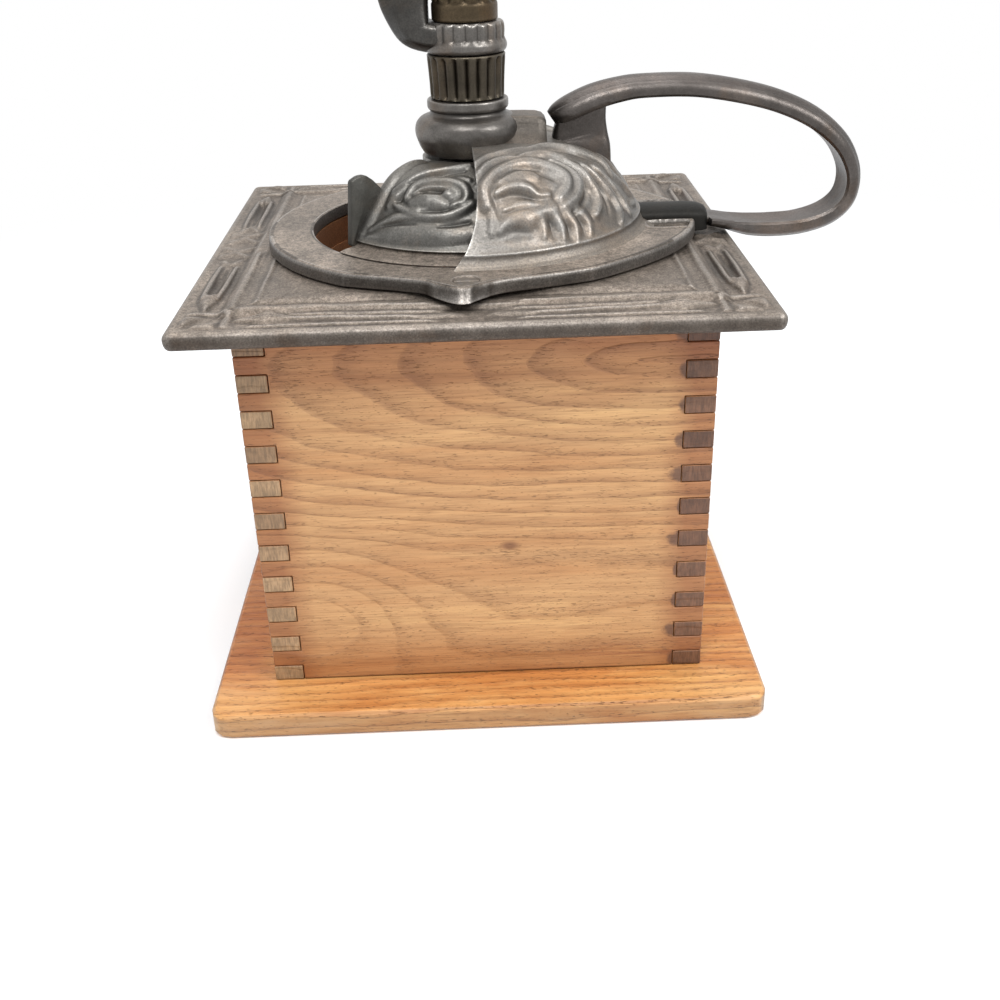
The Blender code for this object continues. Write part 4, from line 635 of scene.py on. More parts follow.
# The dome's iron is lighter than the rest of its casting: a painted highlight standing for the broad sheen on
# the dome.
LIGHTENED_CANOPY_IRON = iron("canopy_iron_painted_highlight", (0.185, 0.174, 0.16), (0.54, 0.525, 0.5), (0.33, 0.275, 0.22),
                   metal=0.8, rough=0.4, shine=0.5, sense=3.4, skirt=0.6)
RING_IRON = iron("ring_iron", (0.044, 0.036, 0.029), (0.44, 0.41, 0.38), (0.62, 0.52, 0.43),
                 dusty=0.88, metal=0.7, rough=0.42, shine=0.6, sense=6.0)
SHUTTER_IRON = iron("shutter_iron", (0.135, 0.13, 0.12), (0.48, 0.46, 0.43), (0.32, 0.28, 0.22),
                    dusty=0.35, metal=0.82, rough=0.38, shine=0.45, sense=3.4, skirt=0.6)
FIN_IRON = iron("fin_iron", (0.155, 0.152, 0.138), (0.42, 0.42, 0.39), (0.12, 0.1, 0.08),
                dusty=0.2, grain=0.8, metal=0.8, rough=0.42)
HEAD_IRON = iron("head_iron", (0.125, 0.116, 0.107), (0.46, 0.44, 0.41), (0.2, 0.16, 0.12),
                 dusty=0.3, grain=0.7, metal=0.85, rough=0.31, shine=0.5)
LUG_IRON = iron("lug_iron", (0.078, 0.068, 0.058), (0.36, 0.33, 0.3), (0.26, 0.205, 0.155),
                dusty=0.55, grain=0.9, metal=0.75, rough=0.42, shine=0.4)
ARM_IRON = iron("arm_iron", (0.06, 0.057, 0.053), (0.36, 0.345, 0.32), (0.14, 0.11, 0.08),
                dusty=0.2, grain=0.9, metal=0.85, rough=0.33, shine=0.45)
# Near black: painted shade and a painted dark reflection on the socket's barrel top.
SHADED_SOCKET_IRON = iron("socket_iron_painted_shade", (0.012, 0.011, 0.009), (0.1, 0.092, 0.084), (0.03, 0.026, 0.02),
                   dusty=0.1, grain=0.7, metal=0.6, rough=0.56, shine=0.2)
NUT_IRON = iron("nut_iron", (0.055, 0.045, 0.032), (0.20, 0.175, 0.13), (0.13, 0.1, 0.06),
                dusty=0.4, grain=0.7, metal=0.8, rough=0.38, shine=0.35)
HANDLE_IRON = iron("handle_iron", (0.082, 0.072, 0.066), (0.44, 0.41, 0.39), (0.23, 0.19, 0.17),
                   dusty=0.45, grain=0.6, metal=0.85, rough=0.33, shine=0.45)
BRONZE = iron("cap_bronze", (0.065, 0.047, 0.027), (0.30, 0.23, 0.15), (0.12, 0.08, 0.045),
              grain=0.7, metal=0.8, rough=0.38)
RUST = iron("bowl_rust", (0.24, 0.095, 0.036), (0.26, 0.17, 0.10), (0.42, 0.18, 0.06),
            dusty=0.9, grain=1.2, metal=0.2, rough=0.66)
STEEL = steel("dull_steel", (0.23, 0.21, 0.19), 0.42)
BURR_STEEL = steel("burr_steel", (0.26, 0.245, 0.225), 0.36)
KNOB_WOOD = turned_wood("knob_wood", (0.085, 0.034, 0.016))

HONEY, BROWN = (0.53, 0.292, 0.124), (0.27, 0.128, 0.052)
PLAIN_END, LEFT_END, RIGHT_END = (0.3, 0.19, 0.11), (0.335, 0.212, 0.112), (0.15, 0.07, 0.037)
FRONT_WOOD = wood("front_wood", "X", (0.054, 0.131), HONEY, BROWN, PLAIN_END, stain_and_shade=1.0, gap_shade=0.0045,
                  knot=(0.009, 0.0635), lobe=(-0.062, 0.038, 0.036, 0.026, 0.02))
LEFT_WOOD = wood("left_wood", "Y", (0.02, 0.09), HONEY, BROWN, LEFT_END, ring=0.005, squeeze=4.0, knee=0.09,
                 stain_and_shade=0.8)
RIGHT_WOOD = wood("right_wood", "Y", (-0.03, 0.05), HONEY, BROWN, RIGHT_END, ring=0.0047, knee=0.08,
                  stain_and_shade=0.8, lobe=(0.05, 0.12, 0.03, 0.03, 0.015))
BACK_WOOD = wood("back_wood", "X", (0.03, 0.12), HONEY, BROWN, PLAIN_END, ring=0.0052, squeeze=3.8, stain_and_shade=0.9)
DRAWER_WOOD = wood("drawer_wood", "X", (-0.03, 0.03), (0.46, 0.27, 0.13), (0.26, 0.14, 0.07),
                   (0.3, 0.2, 0.12), ring=0.0044, squeeze=4.5, knee=0.05, wave=0.006)
DRAWER_SIDE_WOOD = wood("drawer_side_wood", "Y", (0.0, 0.06), (0.45, 0.3, 0.17), (0.3, 0.18, 0.09),
                        (0.3, 0.21, 0.13), ring=0.004, squeeze=5.0, wave=0.006)
OAK = wood("base_oak", "X", (0.3, 0.35), (0.71, 0.365, 0.125), (0.40, 0.165, 0.05), (0.36, 0.24, 0.15),
           ring=0.0047, squeeze=9.0, knee=0.9, pore=1.6, wave=0.017, level=True)

for body, material, ease, nodes in (
        ("mill", FRONT_WOOD, 0.35, "box_front"), ("mill", BACK_WOOD, 0.35, "box_back"),
        ("mill", LEFT_WOOD, 0.35, "box_left"), ("mill", RIGHT_WOOD, 0.35, "box_right"),
        ("mill", DRAWER_SIDE_WOOD, 0.35, "drawer_guide_left drawer_guide_right"),
        ("mill", OAK, 0.5, "base_board"), ("drawer", DRAWER_WOOD, 0.35, "drawer_front drawer_back"),
        ("drawer", DRAWER_SIDE_WOOD, 0.35, "drawer_side_left drawer_side_right"),
        ("drawer", DRAWER_WOOD, 0.35, "drawer_bottom")):
    for node in nodes.split():
        dress_node(node, body, material, ease)


def square_outline(spread):
    """Where the columns meet a square of half side 1, turning left; closer together towards the corners."""
    t = np.linspace(-1, 1, spread, endpoint=False)
    along = t + 0.14 * np.sin(math.pi * t)
    one = np.ones_like(along)
    return np.concatenate([one, -along, -one, along]), np.concatenate([along, one, -along, -one])


def rounded(x, y, half, radius):
    """Square outline points scaled to half and their corners drawn in to a round of that radius."""
    px, py = x * half, y * half
    qx, qy = np.abs(px) - (half - radius), np.abs(py) - (half - radius)
    corner = (qx > 0) & (qy > 0)
    length = np.maximum(np.hypot(qx, qy), 1e-9)
    nx = np.where(corner, np.sign(px) * (half - radius + qx * radius / length), px)
    ny = np.where(corner, np.sign(py) * (half - radius + qy * radius / length), py)
    return nx, ny


def stroke_height(points, strokes):
    """Height at each point from strokes (path, half widths at start, middle and end, height).

    A stroke is height (1 - (away / width)^2) across. Ridges run together as (a^6 + b^6)^(1/6), and grooves,
    whose height is below 0, come off.
    """
    raised = np.zeros(len(points))
    cut = np.zeros(len(points))
    for path, widths, tall in strokes:
        reach = max(widths)
        close = np.all((points > path.min(0) - reach) & (points < path.max(0) + reach), axis=1)
        away, share = near_line(points[close], path)
        width = np.interp(share, [0, 0.5, 1], widths)
        bump = abs(tall) * (0.35 + 0.65 * width / reach) * np.clip(1 - (away / width) ** 2, 0, 1)
        if tall > 0:
            raised[close] = (raised[close] ** 6 + bump ** 6) ** (1 / 6)
        else:
            cut[close] = np.maximum(cut[close], bump)
    return raised - cut


def soften(height, rounds):
    """Each height of a grid becomes half itself and half the mean of its four neighbours, some times over."""
    for _ in range(rounds):
        wide = np.pad(height, 1, mode="edge")
        around = wide[:-2, 1:-1] + wide[2:, 1:-1] + wide[1:-1, :-2] + wide[1:-1, 2:]
        height = 0.5 * height + 0.125 * around
    return height


# Strokes over the plate's border: ((along the side from its middle, depth in from the edge) in mm, ...),
# half widths in mm, height in mm (below 0: groove)
FRONT_BORDER = [
    ([(16, 28.0), (45, 28.5), (73, 28.5)], (0.5, 0.9, 1.1), 0.7),
    ([(20, 24.0), (50, 24.5), (72, 24.5)], (0.7, 1.2, 1.0), -0.5),
    ([(15, 18.2), (45, 18.5), (75, 18.5)], (1.2, 1.8, 1.8), 0.7),
    ([(20, 9.2), (32, 10.0), (46, 10.6), (56, 11.0)], (1.3, 1.6, 1.3), 1.1),
    ([(55, 11.2), (60, 11.5), (64, 11.8), (68, 11.5), (75, 11.0)], (0.8, 5.4, 0.8), 1.7),
    ([(58, 11.3), (64, 11.8), (71, 11.3)], (0.3, 0.6, 0.3), -0.5),
    ([(14, 4.9), (40, 4.9), (70, 4.9)], (0.9, 1.1, 0.9), 0.7),
    ([(12, 14.4), (36, 14.5), (58, 14.7)], (0.9, 1.2, 0.9), 0.7),
    ([(77.6, 5.5), (77.6, 10), (77.6, 17)], (1.3, 1.5, 1.3), 1.0),
    ([(6, 9.6), (12, 9.4), (20, 9.2)], (2.2, 2.8, 1.3), 0.8),
]
SIDE_BORDER = [
    ([(20, 25.5), (45, 25.5), (70, 25.5)], (0.7, 1.1, 0.9), 0.9),
    ([(15, 18.5), (45, 18.5), (76, 18.5)], (1.2, 1.8, 1.6), 0.7),
    ([(27, 6.5), (45, 6.5), (64, 6.8)], (0.8, 1.3, 1.2), 1.2),
    ([(27, 12.0), (45, 12.0), (64, 11.8)], (0.8, 1.3, 1.2), 1.2),
    ([(62, 9.3), (67, 9.3), (74, 9.3)], (3.6, 3.0, 0.6), 1.5),
    ([(30, 9.2), (46, 9.2), (62, 9.2)], (0.9, 1.3, 0.8), -0.6),
    ([(77.6, 5.5), (77.6, 10), (77.6, 17)], (1.2, 1.4, 1.2), 1.0),
    ([(4, 4.5), (8, 9.5), (4, 14.5)], (1.4, 1.7, 1.4), 1.3),
    ([(14, 4.5), (12, 9.5), (16, 14.5)], (1.4, 1.7, 1.4), 1.3),
    ([(20, 6.0), (24, 9.3), (20, 12.6)], (0.9, 1.3, 0.9), 1.1),
]


def plate_relief(x, y):
    """Raised ornament of the border: each side's strokes, mirrored about its middle, and rays in each corner.

    Every side uses its own frame: a runs along it from its middle, d is the depth in from the edge. A ray
    is 1 - (angle off its middle / 12 degrees)^2 across, about a point 1 mm in from the corner.
    """
    side = np.abs(x) > np.abs(y)
    a = np.abs(np.where(side, y, x))
    in_x, in_y = PLATE_HALF - np.abs(x), PLATE_HALF - np.abs(y)
    d = PLATE_HALF - np.maximum(np.abs(x), np.abs(y))
    border = d < 31.0
    height = np.zeros_like(x)
    for mask, strokes in ((border & side, SIDE_BORDER), (border & ~side, FRONT_BORDER)):
        laid = [(smooth_line(controls, 12), widths, tall) for controls, widths, tall in strokes]
        height[mask] = stroke_height(np.stack([a, d], 1)[mask], laid)
    turn = np.degrees(np.arctan2(in_y - 1.0, in_x - 1.0))
    rays = np.maximum(*(np.clip(1 - (np.abs(turn - ray) / 12.0) ** 2, 0, 1) for ray in (24.0, 66.0)))
    fan = rays ** 0.7 * ramp(np.hypot(in_x, in_y), 7, 11) * ramp(np.maximum(in_x, in_y), 16, 14)
    fan = fan * ramp(np.minimum(in_x, in_y), 3.2, 4.7)
    height = np.where((in_x < 17.5) & (in_y < 17.5), np.maximum(height, fan), height)
    wander = 0.16 * np.sin(x * 0.11 + 1.3) * np.sin(y * 0.13 + 0.4) + 0.09 * np.sin(x * 0.31 + y * 0.27)
    return 1.25 * height + wander * ramp(d, 5, 11)


PLATE_STEPS = np.array([(0, 151.2), (2.0, 151.0), (14.6, 150.6), (15.6, 151.3), (16.6, 152.0), (20.4, 152.1),
                        (21.4, 151.8), (24.0, 151.8), (26.5, 152.2), (30.0, PLATE_TOP - 0.1)])
RIM_SHARES = [(1.0, 0.94), (0.8, 0.93), (0.5, 1.0), (0.2, 0.92), (0.03, 0.72), (0.0, 0.45), (0.1, 0.14),
              (0.35, 0.0), (1.0, 0.0)]
RIM_LOW, RIM_WIDE, RIM_TALL, RIM_SWELL = 145.4, 5.0, 5.8, 0.35
SEAT_LOW = 146.5


def plate_mesh():
    """Rows from the bowl's seat up, out over the field and border, round the rim and back under; all closed.

    Each row is a rounded square at one depth from the edge, drawn over to a circle near the hole.
    """
    x, y = square_outline(200)
    turn = np.arctan2(y, x)
    rows = [round_axis(radius, turn, z) for radius, z in ((61.7, SEAT_LOW), (61.7, 150.0), (65.5, 150.0),
                                                          (65.5, 152.8), (65.7, PLATE_TOP))]
    flat = []
    for depth in np.concatenate([np.linspace(30.5, 22.4, 18), np.arange(22.0, 2.0, -0.3)]):
        px, py = rounded(x, y, PLATE_HALF - depth, max(2.6 - depth, 0.4))
        share = ramp(depth, 27.5, 30.5) ** 1.6
        px = px * (1 - share) + np.cos(turn) * 67.0 * share
        py = py * (1 - share) + np.sin(turn) * 67.0 * share
        z = np.interp(depth, *PLATE_STEPS.T) + (1 - share) * plate_relief(px, py)
        flat.append(placed(px, py, z))
    flat = np.array(flat)
    flat[..., 2] = soften(flat[..., 2], 5)
    rows.extend(flat)
    for inset, z in smooth_line(np.array(RIM_SHARES) * (RIM_WIDE, RIM_TALL) + (0, RIM_LOW), 22):
        rows.append(placed(*rounded(x, y, PLATE_HALF + RIM_SWELL - inset, max(2.8 - inset, 1.2)), z))
    for inset, z in ((5.6, RIM_LOW + 3), (14.0, RIM_LOW + 3), (17.0, PLATE_SEAT)):
        rows.append(placed(*rounded(x, y, PLATE_HALF - inset, 2.0), z))
    rows.extend(round_axis(67.3, turn, z) for z in (PLATE_SEAT, SEAT_LOW))
    return loft_mesh(np.array(rows)[::-1], rows_meet=True)


add_piece("top_plate_relief", plate_mesh(), PLATE_IRON, "mill", "top_plate", angle=50)


# Front lobe seen from above: (turn off its middle in degrees, radius above the plain ring in mm)
LOBE_LINE = smooth_line([(-32, 0), (-24, -1.6), (-17, -2.2), (-10, -1.0), (-6.5, 2.0), (-3.6, 4.6),
                         (-1.6, 6.2), (0, 6.9), (1.8, 6.4), (3.2, 4.6), (5.6, 2.4), (8, 0.6), (14, -1.2),
                         (24, -1.3), (34, 0)], 90)
RING_RADIUS = 74.5


def lobed_radius(turn):
    """The ring's radius at each turn, and how far each turn is into a lobe, 0 to 1.

    There is an ogee lobe fore and aft, 3 degrees off the Y axis, and a shoulder towards +X.
    """
    def off(middle):
        return np.degrees((turn - middle + math.pi) % (2 * math.pi) - math.pi)

    lobe = sum(np.interp(off(side * math.pi / 2 + math.radians(-3)), *LOBE_LINE.T) for side in (-1, 1))
    shoulder = np.cos(np.minimum(np.abs(np.radians(off(0))) * 1.7, math.pi / 2))
    return RING_RADIUS + lobe + 7.5 * shoulder ** 2, ramp(lobe, -0.5, 6.9)


# The ring's outline: (0 in the mouth or 1 at the side, mm added to the radius, height, share of the lean)
RING_SECTION = [
    (0, 0.7, RING_TOP, 0), (0, 0.2, RING_TOP - 0.2, 0), (0, 0, RING_TOP - 0.7, 0), (0, 0, RING_LOW + 0.4, 0),
    (0, 0.4, RING_LOW, 0), (1, -0.5, RING_LOW, 1), (1, 0, RING_LOW + 0.4, 1), (1, 0.1, RING_LOW + 1.3, 0.6),
    (1, 0, RING_TOP - 1.6, 0.2), (1, -0.12, RING_TOP - 0.9, 0.05), (1, -0.4, RING_TOP - 0.35, 0),
    (1, -0.9, RING_TOP - 0.06, 0), (1, -1.6, RING_TOP, 0),
]
SCREW_RADIUS = 73.35


def ring_mesh():
    """The level ring: rows run down inside the mouth, out underneath, up the lobed side and over the top.

    The side leans out by up to 2.6 mm under the lobes. The top has a shallow pocket with a raised lip on
    either side of the socket, as (x / a)^4 + (y / b)^4 < 1, and a sunk round at each screw.
    """
    turn = np.linspace(0, 2 * math.pi, 1200, endpoint=False)
    lobed, lobe = lobed_radius(turn)
    wave = 0.12 * np.sin(3 * turn + 0.6) + 0.08 * np.sin(7 * turn)
    rows = []
    for share, grow, z, lean in RING_SECTION:
        radius = (1 - share) * MOUTH + share * lobed + grow + lean * 2.6 * lobe
        rows.append(round_axis(radius, turn, z))
    screw_x, screw_y = -SCREW_RADIUS * math.tan(math.radians(2)), -SCREW_RADIUS
    for share in np.linspace(0.93, 0.04, 48):
        radius = (1 - share) * MOUTH + share * lobed
        x, y = radius * np.cos(turn), radius * np.sin(turn)
        along, aside = x - 71.5, np.abs(y) - 14.3
        pocket = np.clip(1 - (along / 8.5) ** 4 - (aside / 4.6) ** 4, 0, 1) ** 0.4
        lip = np.exp(-(((along / 8.9) ** 4 + (aside / 5.0) ** 4 - 1) / 0.5) ** 2)
        z = RING_TOP + wave * math.sin(math.pi * share) - 2.0 * pocket + 0.4 * lip
        for side in (1, -1):
            z = z - 0.62 * ramp(np.hypot(x - side * screw_x, y - side * screw_y), 4.5, 4.1)
        rows.append(placed(x, y, z))
    return loft_mesh(rows, rows_meet=True)


add_piece("canopy_ring", ring_mesh(), RING_IRON, "mill", "hopper_canopy", angle=40)


DOME_LINE = np.array([(0.22, 1.0), (0.33, 0.995), (0.472, 0.967), (0.58, 0.92), (0.66, 0.86), (0.728, 0.79),
                      (0.772, 0.72), (0.813, 0.603), (0.866, 0.449), (0.92, 0.295), (0.958, 0.185),
                      (0.974, 0.145), (0.974, 0.105), (0.98, 0.065), (0.989, 0.028),
                      (1.0, 0.0)]) * (DOME_FOOT, DOME_RISE)
SHUTTER_LINE = np.array([(0.26, 0.815), (0.359, 0.826), (0.417, 0.833), (0.488, 0.797), (0.561, 0.725),
                         (0.624, 0.616), (0.687, 0.459), (0.778, 0.22),
                         (0.825, 0.1)]) * (DOME_FOOT, DOME_RISE)

# Strokes of the raised scrolls: ((turn, latitude) in degrees, ...), half widths in mm, height in mm
# (below 0: groove). The latitude is seen from the middle of the ring's top.
DOME_STROKES = [
    ([(-84.5, 19), (-85, 24.5), (-82.5, 28.5), (-77.5, 32.5), (-71, 35), (-64, 36), (-57, 35),
      (-50.5, 30.5), (-48, 26), (-50.5, 21.5), (-56, 18.5)], (1.6, 2.0, 1.5), 2.3),
    ([(-80.5, 27.5), (-77, 30), (-71, 32), (-64, 32.6), (-57.5, 31)], (0.7, 1.3, 1.2), -1.0),
    ([(-77.5, 27.5), (-70, 29.5), (-62.5, 28.5)], (1.6, 2.8, 1.8), 1.7),
    ([(-60, 29.5), (-56.5, 28.5), (-54, 26)], (1.2, 1.9, 1.4), -1.3),
    ([(-80.5, 23.2), (-76, 25), (-71, 25), (-67.5, 23.8), (-64.5, 21), (-60, 20.5)], (1.0, 1.6, 1.0), 2.1),
    ([(-78, 21.5), (-72, 21.8), (-67, 20)], (0.9, 1.3, 0.8), -0.6),
    ([(-84.5, 20), (-82.5, 15.5), (-83.5, 10.5)], (1.4, 1.8, 1.2), 1.1),
    ([(-81, 18.5), (-80.5, 15)], (1.2, 1.4, 1.0), -0.5),
    ([(-81, 10.5), (-79.5, 12.3), (-75, 14), (-70.5, 14.3), (-65.5, 15.2), (-60, 15.5)],
     (0.9, 3.0, 2.2), 2.3),
    ([(-78, 17.3), (-72, 18.5), (-66, 17.9), (-60, 18.2)], (0.8, 1.4, 1.0), 1.3),
    ([(-78, 16.2), (-72, 16.8), (-65, 16.9)], (0.4, 0.7, 0.5), -0.9),
    ([(-79, 8.5), (-75, 9.5), (-71, 9)], (1.3, 2.0, 1.4), -0.7),
    ([(-67.5, 15), (-66, 11.5), (-66.5, 7.5)], (1.9, 1.7, 0.8), 1.5),
    ([(-61, 15), (-59.3, 11), (-60, 6)], (2.0, 1.8, 0.8), 1.6),
    ([(-55.5, 14.5), (-54, 9.5), (-55, 5.2)], (1.9, 1.6, 0.8), 1.6),
    ([(-49.5, 13.5), (-47.8, 9.5), (-49, 5.6)], (1.8, 1.5, 0.7), 1.5),
    ([(-64, 13.5), (-62.7, 11), (-63, 6.8)], (0.6, 1.2, 0.8), -0.9),
    ([(-58, 12), (-56.6, 9), (-57.3, 5.6)], (0.6, 1.2, 0.8), -0.9),
    ([(-52, 11.5), (-50.5, 8.8), (-51.5, 5.8)], (0.6, 1.1, 0.7), -0.9),
    ([(-47.5, 34), (-43.8, 28), (-43.3, 23), (-46, 19.5), (-50, 17.5), (-56, 15.6)], (0.9, 2.0, 1.6), 2.3),
    ([(-42, 31), (-40.6, 27), (-40.2, 22.5), (-42.5, 17.8), (-47.5, 14.8), (-53, 13)],
     (0.6, 1.0, 0.7), -1.2),
    ([(-39.5, 32), (-37.3, 27.5), (-37.2, 22.5), (-36.5, 17.5), (-38.5, 13.5), (-43, 10.5)],
     (0.9, 1.9, 1.2), 2.2),
    ([(-35, 28), (-33.8, 23), (-32.6, 18.5), (-33, 13), (-36, 9)], (0.5, 1.0, 0.6), -1.1),
    ([(-33, 28), (-31, 22.5), (-28.8, 17.5), (-27.5, 13), (-28.5, 8.5), (-32, 5.5)], (0.8, 1.8, 1.0), 2.1),
    ([(-28.5, 25), (-25.6, 19), (-24, 13), (-24.6, 8)], (0.5, 0.9, 0.5), -1.0),
    ([(-27, 26), (-23.5, 19), (-21.3, 12.5), (-22, 6)], (0.7, 1.6, 0.9), 1.8),
    ([(-62, 40), (-55, 41), (-46, 39.8), (-41, 36.5), (-37, 32), (-33, 27.5)], (0.8, 1.8, 1.0), 1.9),
    ([(-52, 37.5), (-46.5, 36.5), (-43, 33.5)], (0.5, 1.0, 0.6), -0.8),
    ([(-44, 46), (-34, 45), (-27, 42), (-20.5, 34.5), (-16.5, 27), (-15.5, 19)], (0.8, 2.0, 1.2), 2.0),
    ([(-35, 40), (-28, 35), (-23, 28)], (0.6, 1.1, 0.6), -0.8),
    ([(-88, 38), (-80, 43.5), (-66, 46.5), (-54, 47.5), (-44, 46)], (0.9, 1.5, 0.9), 1.4),
    ([(-86, 33), (-80, 38), (-70, 41), (-62, 40)], (0.8, 1.3, 0.8), 1.4),
    ([(-15, 20), (-10, 13), (-10.5, 8), (-16, 8)], (1.2, 2.0, 1.1), 1.8),
    ([(-10, 28), (-6, 20), (-2, 10)], (0.7, 1.5, 0.8), 1.3),
    ([(-88, 3.4), (-60, 3.6), (-30, 3.6), (0, 3.4)], (1.0, 1.2, 1.0), 0.35),
    ([(-91.3, 45), (-91.3, 30), (-91.8, 18), (-94, 8)], (0.9, 1.1, 1.1), 1.3),
]
SHUTTER_STROKES = [
    ([(-138.4, 3), (-138.2, 20), (-137.7, 35), (-136.5, 47)], (1.9, 2.0, 1.6), 1.5),
    ([(-131, 25), (-124, 32), (-118, 35.8), (-110.5, 38.6), (-102.5, 41), (-96, 43), (-91, 43.8)],
     (0.9, 1.7, 1.2), 2.0),
    ([(-122, 31), (-117, 33.8), (-110, 36), (-102.5, 38.3), (-94, 40.3)], (0.6, 1.1, 0.8), -1.2),
    ([(-100, 34), (-96, 33.8), (-91, 33)], (0.7, 1.3, 0.9), 1.3),
    ([(-122, 23), (-120.5, 28), (-116.5, 30.5), (-110, 32), (-101, 32), (-95, 30), (-92.3, 26.3),
      (-93.2, 22.6), (-98, 20.4)], (1.1, 1.6, 1.3), 2.1),
    ([(-119, 25), (-116, 27.4), (-111, 28.8), (-105, 28.8), (-100.5, 28.4), (-96.9, 26.8), (-97.2, 24.4),
      (-100, 23.2)], (0.7, 1.0, 0.9), 1.5),
    ([(-101.4, 25.7), (-100.2, 25.4)], (1.8, 1.9, 1.7), 2.0),
    ([(-115, 25.8), (-109, 26.6), (-104.5, 26.8)], (0.6, 1.1, 0.9), -1.2),
    ([(-118, 21), (-110, 22.8), (-103, 21.3)], (1.8, 3.0, 1.8), 1.9),
    ([(-117.5, 18.2), (-115, 17.6), (-111.5, 18)], (1.2, 1.7, 1.0), 1.7),
    ([(-130.5, 18.5), (-129, 23), (-125.5, 27.5)], (1.1, 2.0, 1.1), 1.7),
    ([(-126.5, 20), (-124.5, 24)], (0.6, 0.9, 0.6), -0.9),
    ([(-135, 7.5), (-131, 10.5), (-127.5, 12.6), (-124, 14.3), (-119.5, 15), (-113, 14.6)],
     (0.8, 1.4, 0.9), 1.7),
    ([(-127, 19.3), (-120, 17.3), (-112, 15.6), (-102, 16.4), (-95, 18.6), (-90, 21.4)],
     (0.9, 1.7, 1.3), 2.0),
    ([(-113, 17.3), (-107, 17.6), (-101, 18.4), (-96, 20.3)], (0.4, 0.8, 0.6), -1.0),
    ([(-134.5, 4.5), (-127, 7.5), (-114, 9.4), (-102, 9.3), (-90, 10.3)], (1.8, 3.2, 2.4), 1.9),
    ([(-104, 12), (-98, 12.7), (-91, 13.9)], (0.5, 1.0, 0.8), -1.7),
    ([(-129, 10.2), (-122, 11.9), (-114, 12.3)], (0.5, 0.8, 0.5), -0.9),
    ([(-85, 13), (-80, 23), (-72, 29), (-63, 29), (-57.5, 24.5), (-60, 19.5), (-67, 19)],
     (1.0, 1.8, 1.3), 2.0),
    ([(-78, 19), (-71, 24.5), (-65, 24.5)], (0.8, 1.4, 0.9), -1.0),
    ([(-87, 29), (-77, 36), (-65, 39), (-53, 39.5)], (0.9, 1.6, 1.0), 1.7),
    ([(-86, 8), (-75, 12.5), (-62, 13.5), (-52, 12)], (1.5, 2.6, 1.6), 1.8),
    ([(-55, 35), (-51.5, 28), (-50.6, 18)], (0.8, 1.6, 1.0), 1.8),
]


def on_surface(line, turn, latitude):
    """Point of a turned surface at a turn and at the latitude seen from the middle of the ring's top."""
    rising = line[::-1]
    seen = np.degrees(np.arctan2(rising[:, 1], rising[:, 0]))
    r, z = (np.interp(latitude, seen, rising[:, k]) for k in (0, 1))
    return round_axis(r, np.radians(turn), z + RING_TOP)


def scroll_height(points, line, strokes, mirror_turn):
    """Height of the scrolls at each point: every stroke laid on the surface and mirrored about a turn."""
    laid = []
    for controls, widths, tall in strokes:
        turn, latitude = smooth_line(controls, 40).T
        swell = 1.55 if tall > 0 else 1.15
        for turns in (turn, 2 * mirror_turn - turn):
            laid.append((on_surface(line, turns, latitude), [w * swell for w in widths], 0.85 * tall))
    return stroke_height(points, laid)


def relief_wall(line, wall, rows, columns, turns_at, strokes, mirror_turn, sink, low_flat):
    """A turned wall with raised scrolls, which fade out 2 mm over low_flat.

    Outer face = profile + normal x (height - sink), inner face = profile - normal x wall.
    """
    fine = smooth_line(line, rows)[::-1]
    step = np.gradient(fine, axis=0)
    normal = np.stack([step[:, 1], -step[:, 0]], 1)
    normal /= np.linalg.norm(normal, axis=1)[:, None]
    low, high = turns_at(fine[:, 1])
    turn = low[:, None] + (high - low)[:, None] * np.linspace(0, 1, columns)

    def carried(profile):
        return round_axis(profile[..., 0], turn, profile[..., 1] + RING_TOP)

    plain = carried(fine[:, None, :])
    height = soften(scroll_height(plain.reshape(-1, 3), line, strokes, mirror_turn).reshape(turn.shape), 8)
    height = (height - sink) * ramp(fine[:, 1], low_flat, low_flat + 2)[:, None]
    outer = carried(fine[:, None, :] + normal[:, None, :] * height[..., None])
    few = np.linspace(0, rows - 1, 20).round().astype(int)
    inner = carried((fine - normal * wall)[:, None, :])[few]
    return shell_mesh(outer, inner)


def dome_turns(height):
    """The fixed half's free edges: -2.5 degrees past a half turn at the top, flaring by 8.5 at the foot."""
    shift = np.radians(-2.5 + 8.5 * np.clip(1 - height / DOME_RISE, 0, 1) ** 3)
    return -math.pi / 2 - shift, math.pi / 2 + shift


# The wall runs on outwards and down under the ring's top, so that its foot shows no edge
dome_foot = np.array([(1.006, 0.22), (1.03, -0.45), (1.055, -1.1)]) * (DOME_FOOT, 1)
dome_line = np.vstack([DOME_LINE[:-1], dome_foot])
add_piece("canopy_dome", relief_wall(dome_line, 2.4, 180, 440, dome_turns, DOME_STROKES, 0.0, 0.35, 1.5),
          LIGHTENED_CANOPY_IRON, "mill", "hopper_canopy", angle=60)


def shutter_turns(height):
    """The shutter is a half turn from its fin at every height."""
    start = np.full_like(height, FIN_TURN)
    return start, start + math.pi


add_piece("shutter_shell", relief_wall(SHUTTER_LINE, 2.0, 160, 440, shutter_turns, SHUTTER_STROKES, -50.0,
                                       0.3, 3.0), SHUTTER_IRON, "hopper_shutter", "shutter", angle=60)


def lathe_grid(profile, columns):
    """(radius, height) rows carried round the Z axis."""
    return round_axis(profile[:, :1], np.arange(columns) * 2 * math.pi / columns, profile[:, 1:])


def turned_piece(name, profile, material, body, node, ease=0.3, place=(0, 0, 0)):
    """A lathe ring: the closed profile of (radius, height), eased, turned round Z and put in its place."""
    line = np.asarray(profile, float)
    line = eased_line(np.vstack([line, line[:1], line[1:2]]), ease)[1:-1]
    add_piece(name, loft_mesh(lathe_grid(line, 96) + np.array(place), True), material, body, node, angle=40)


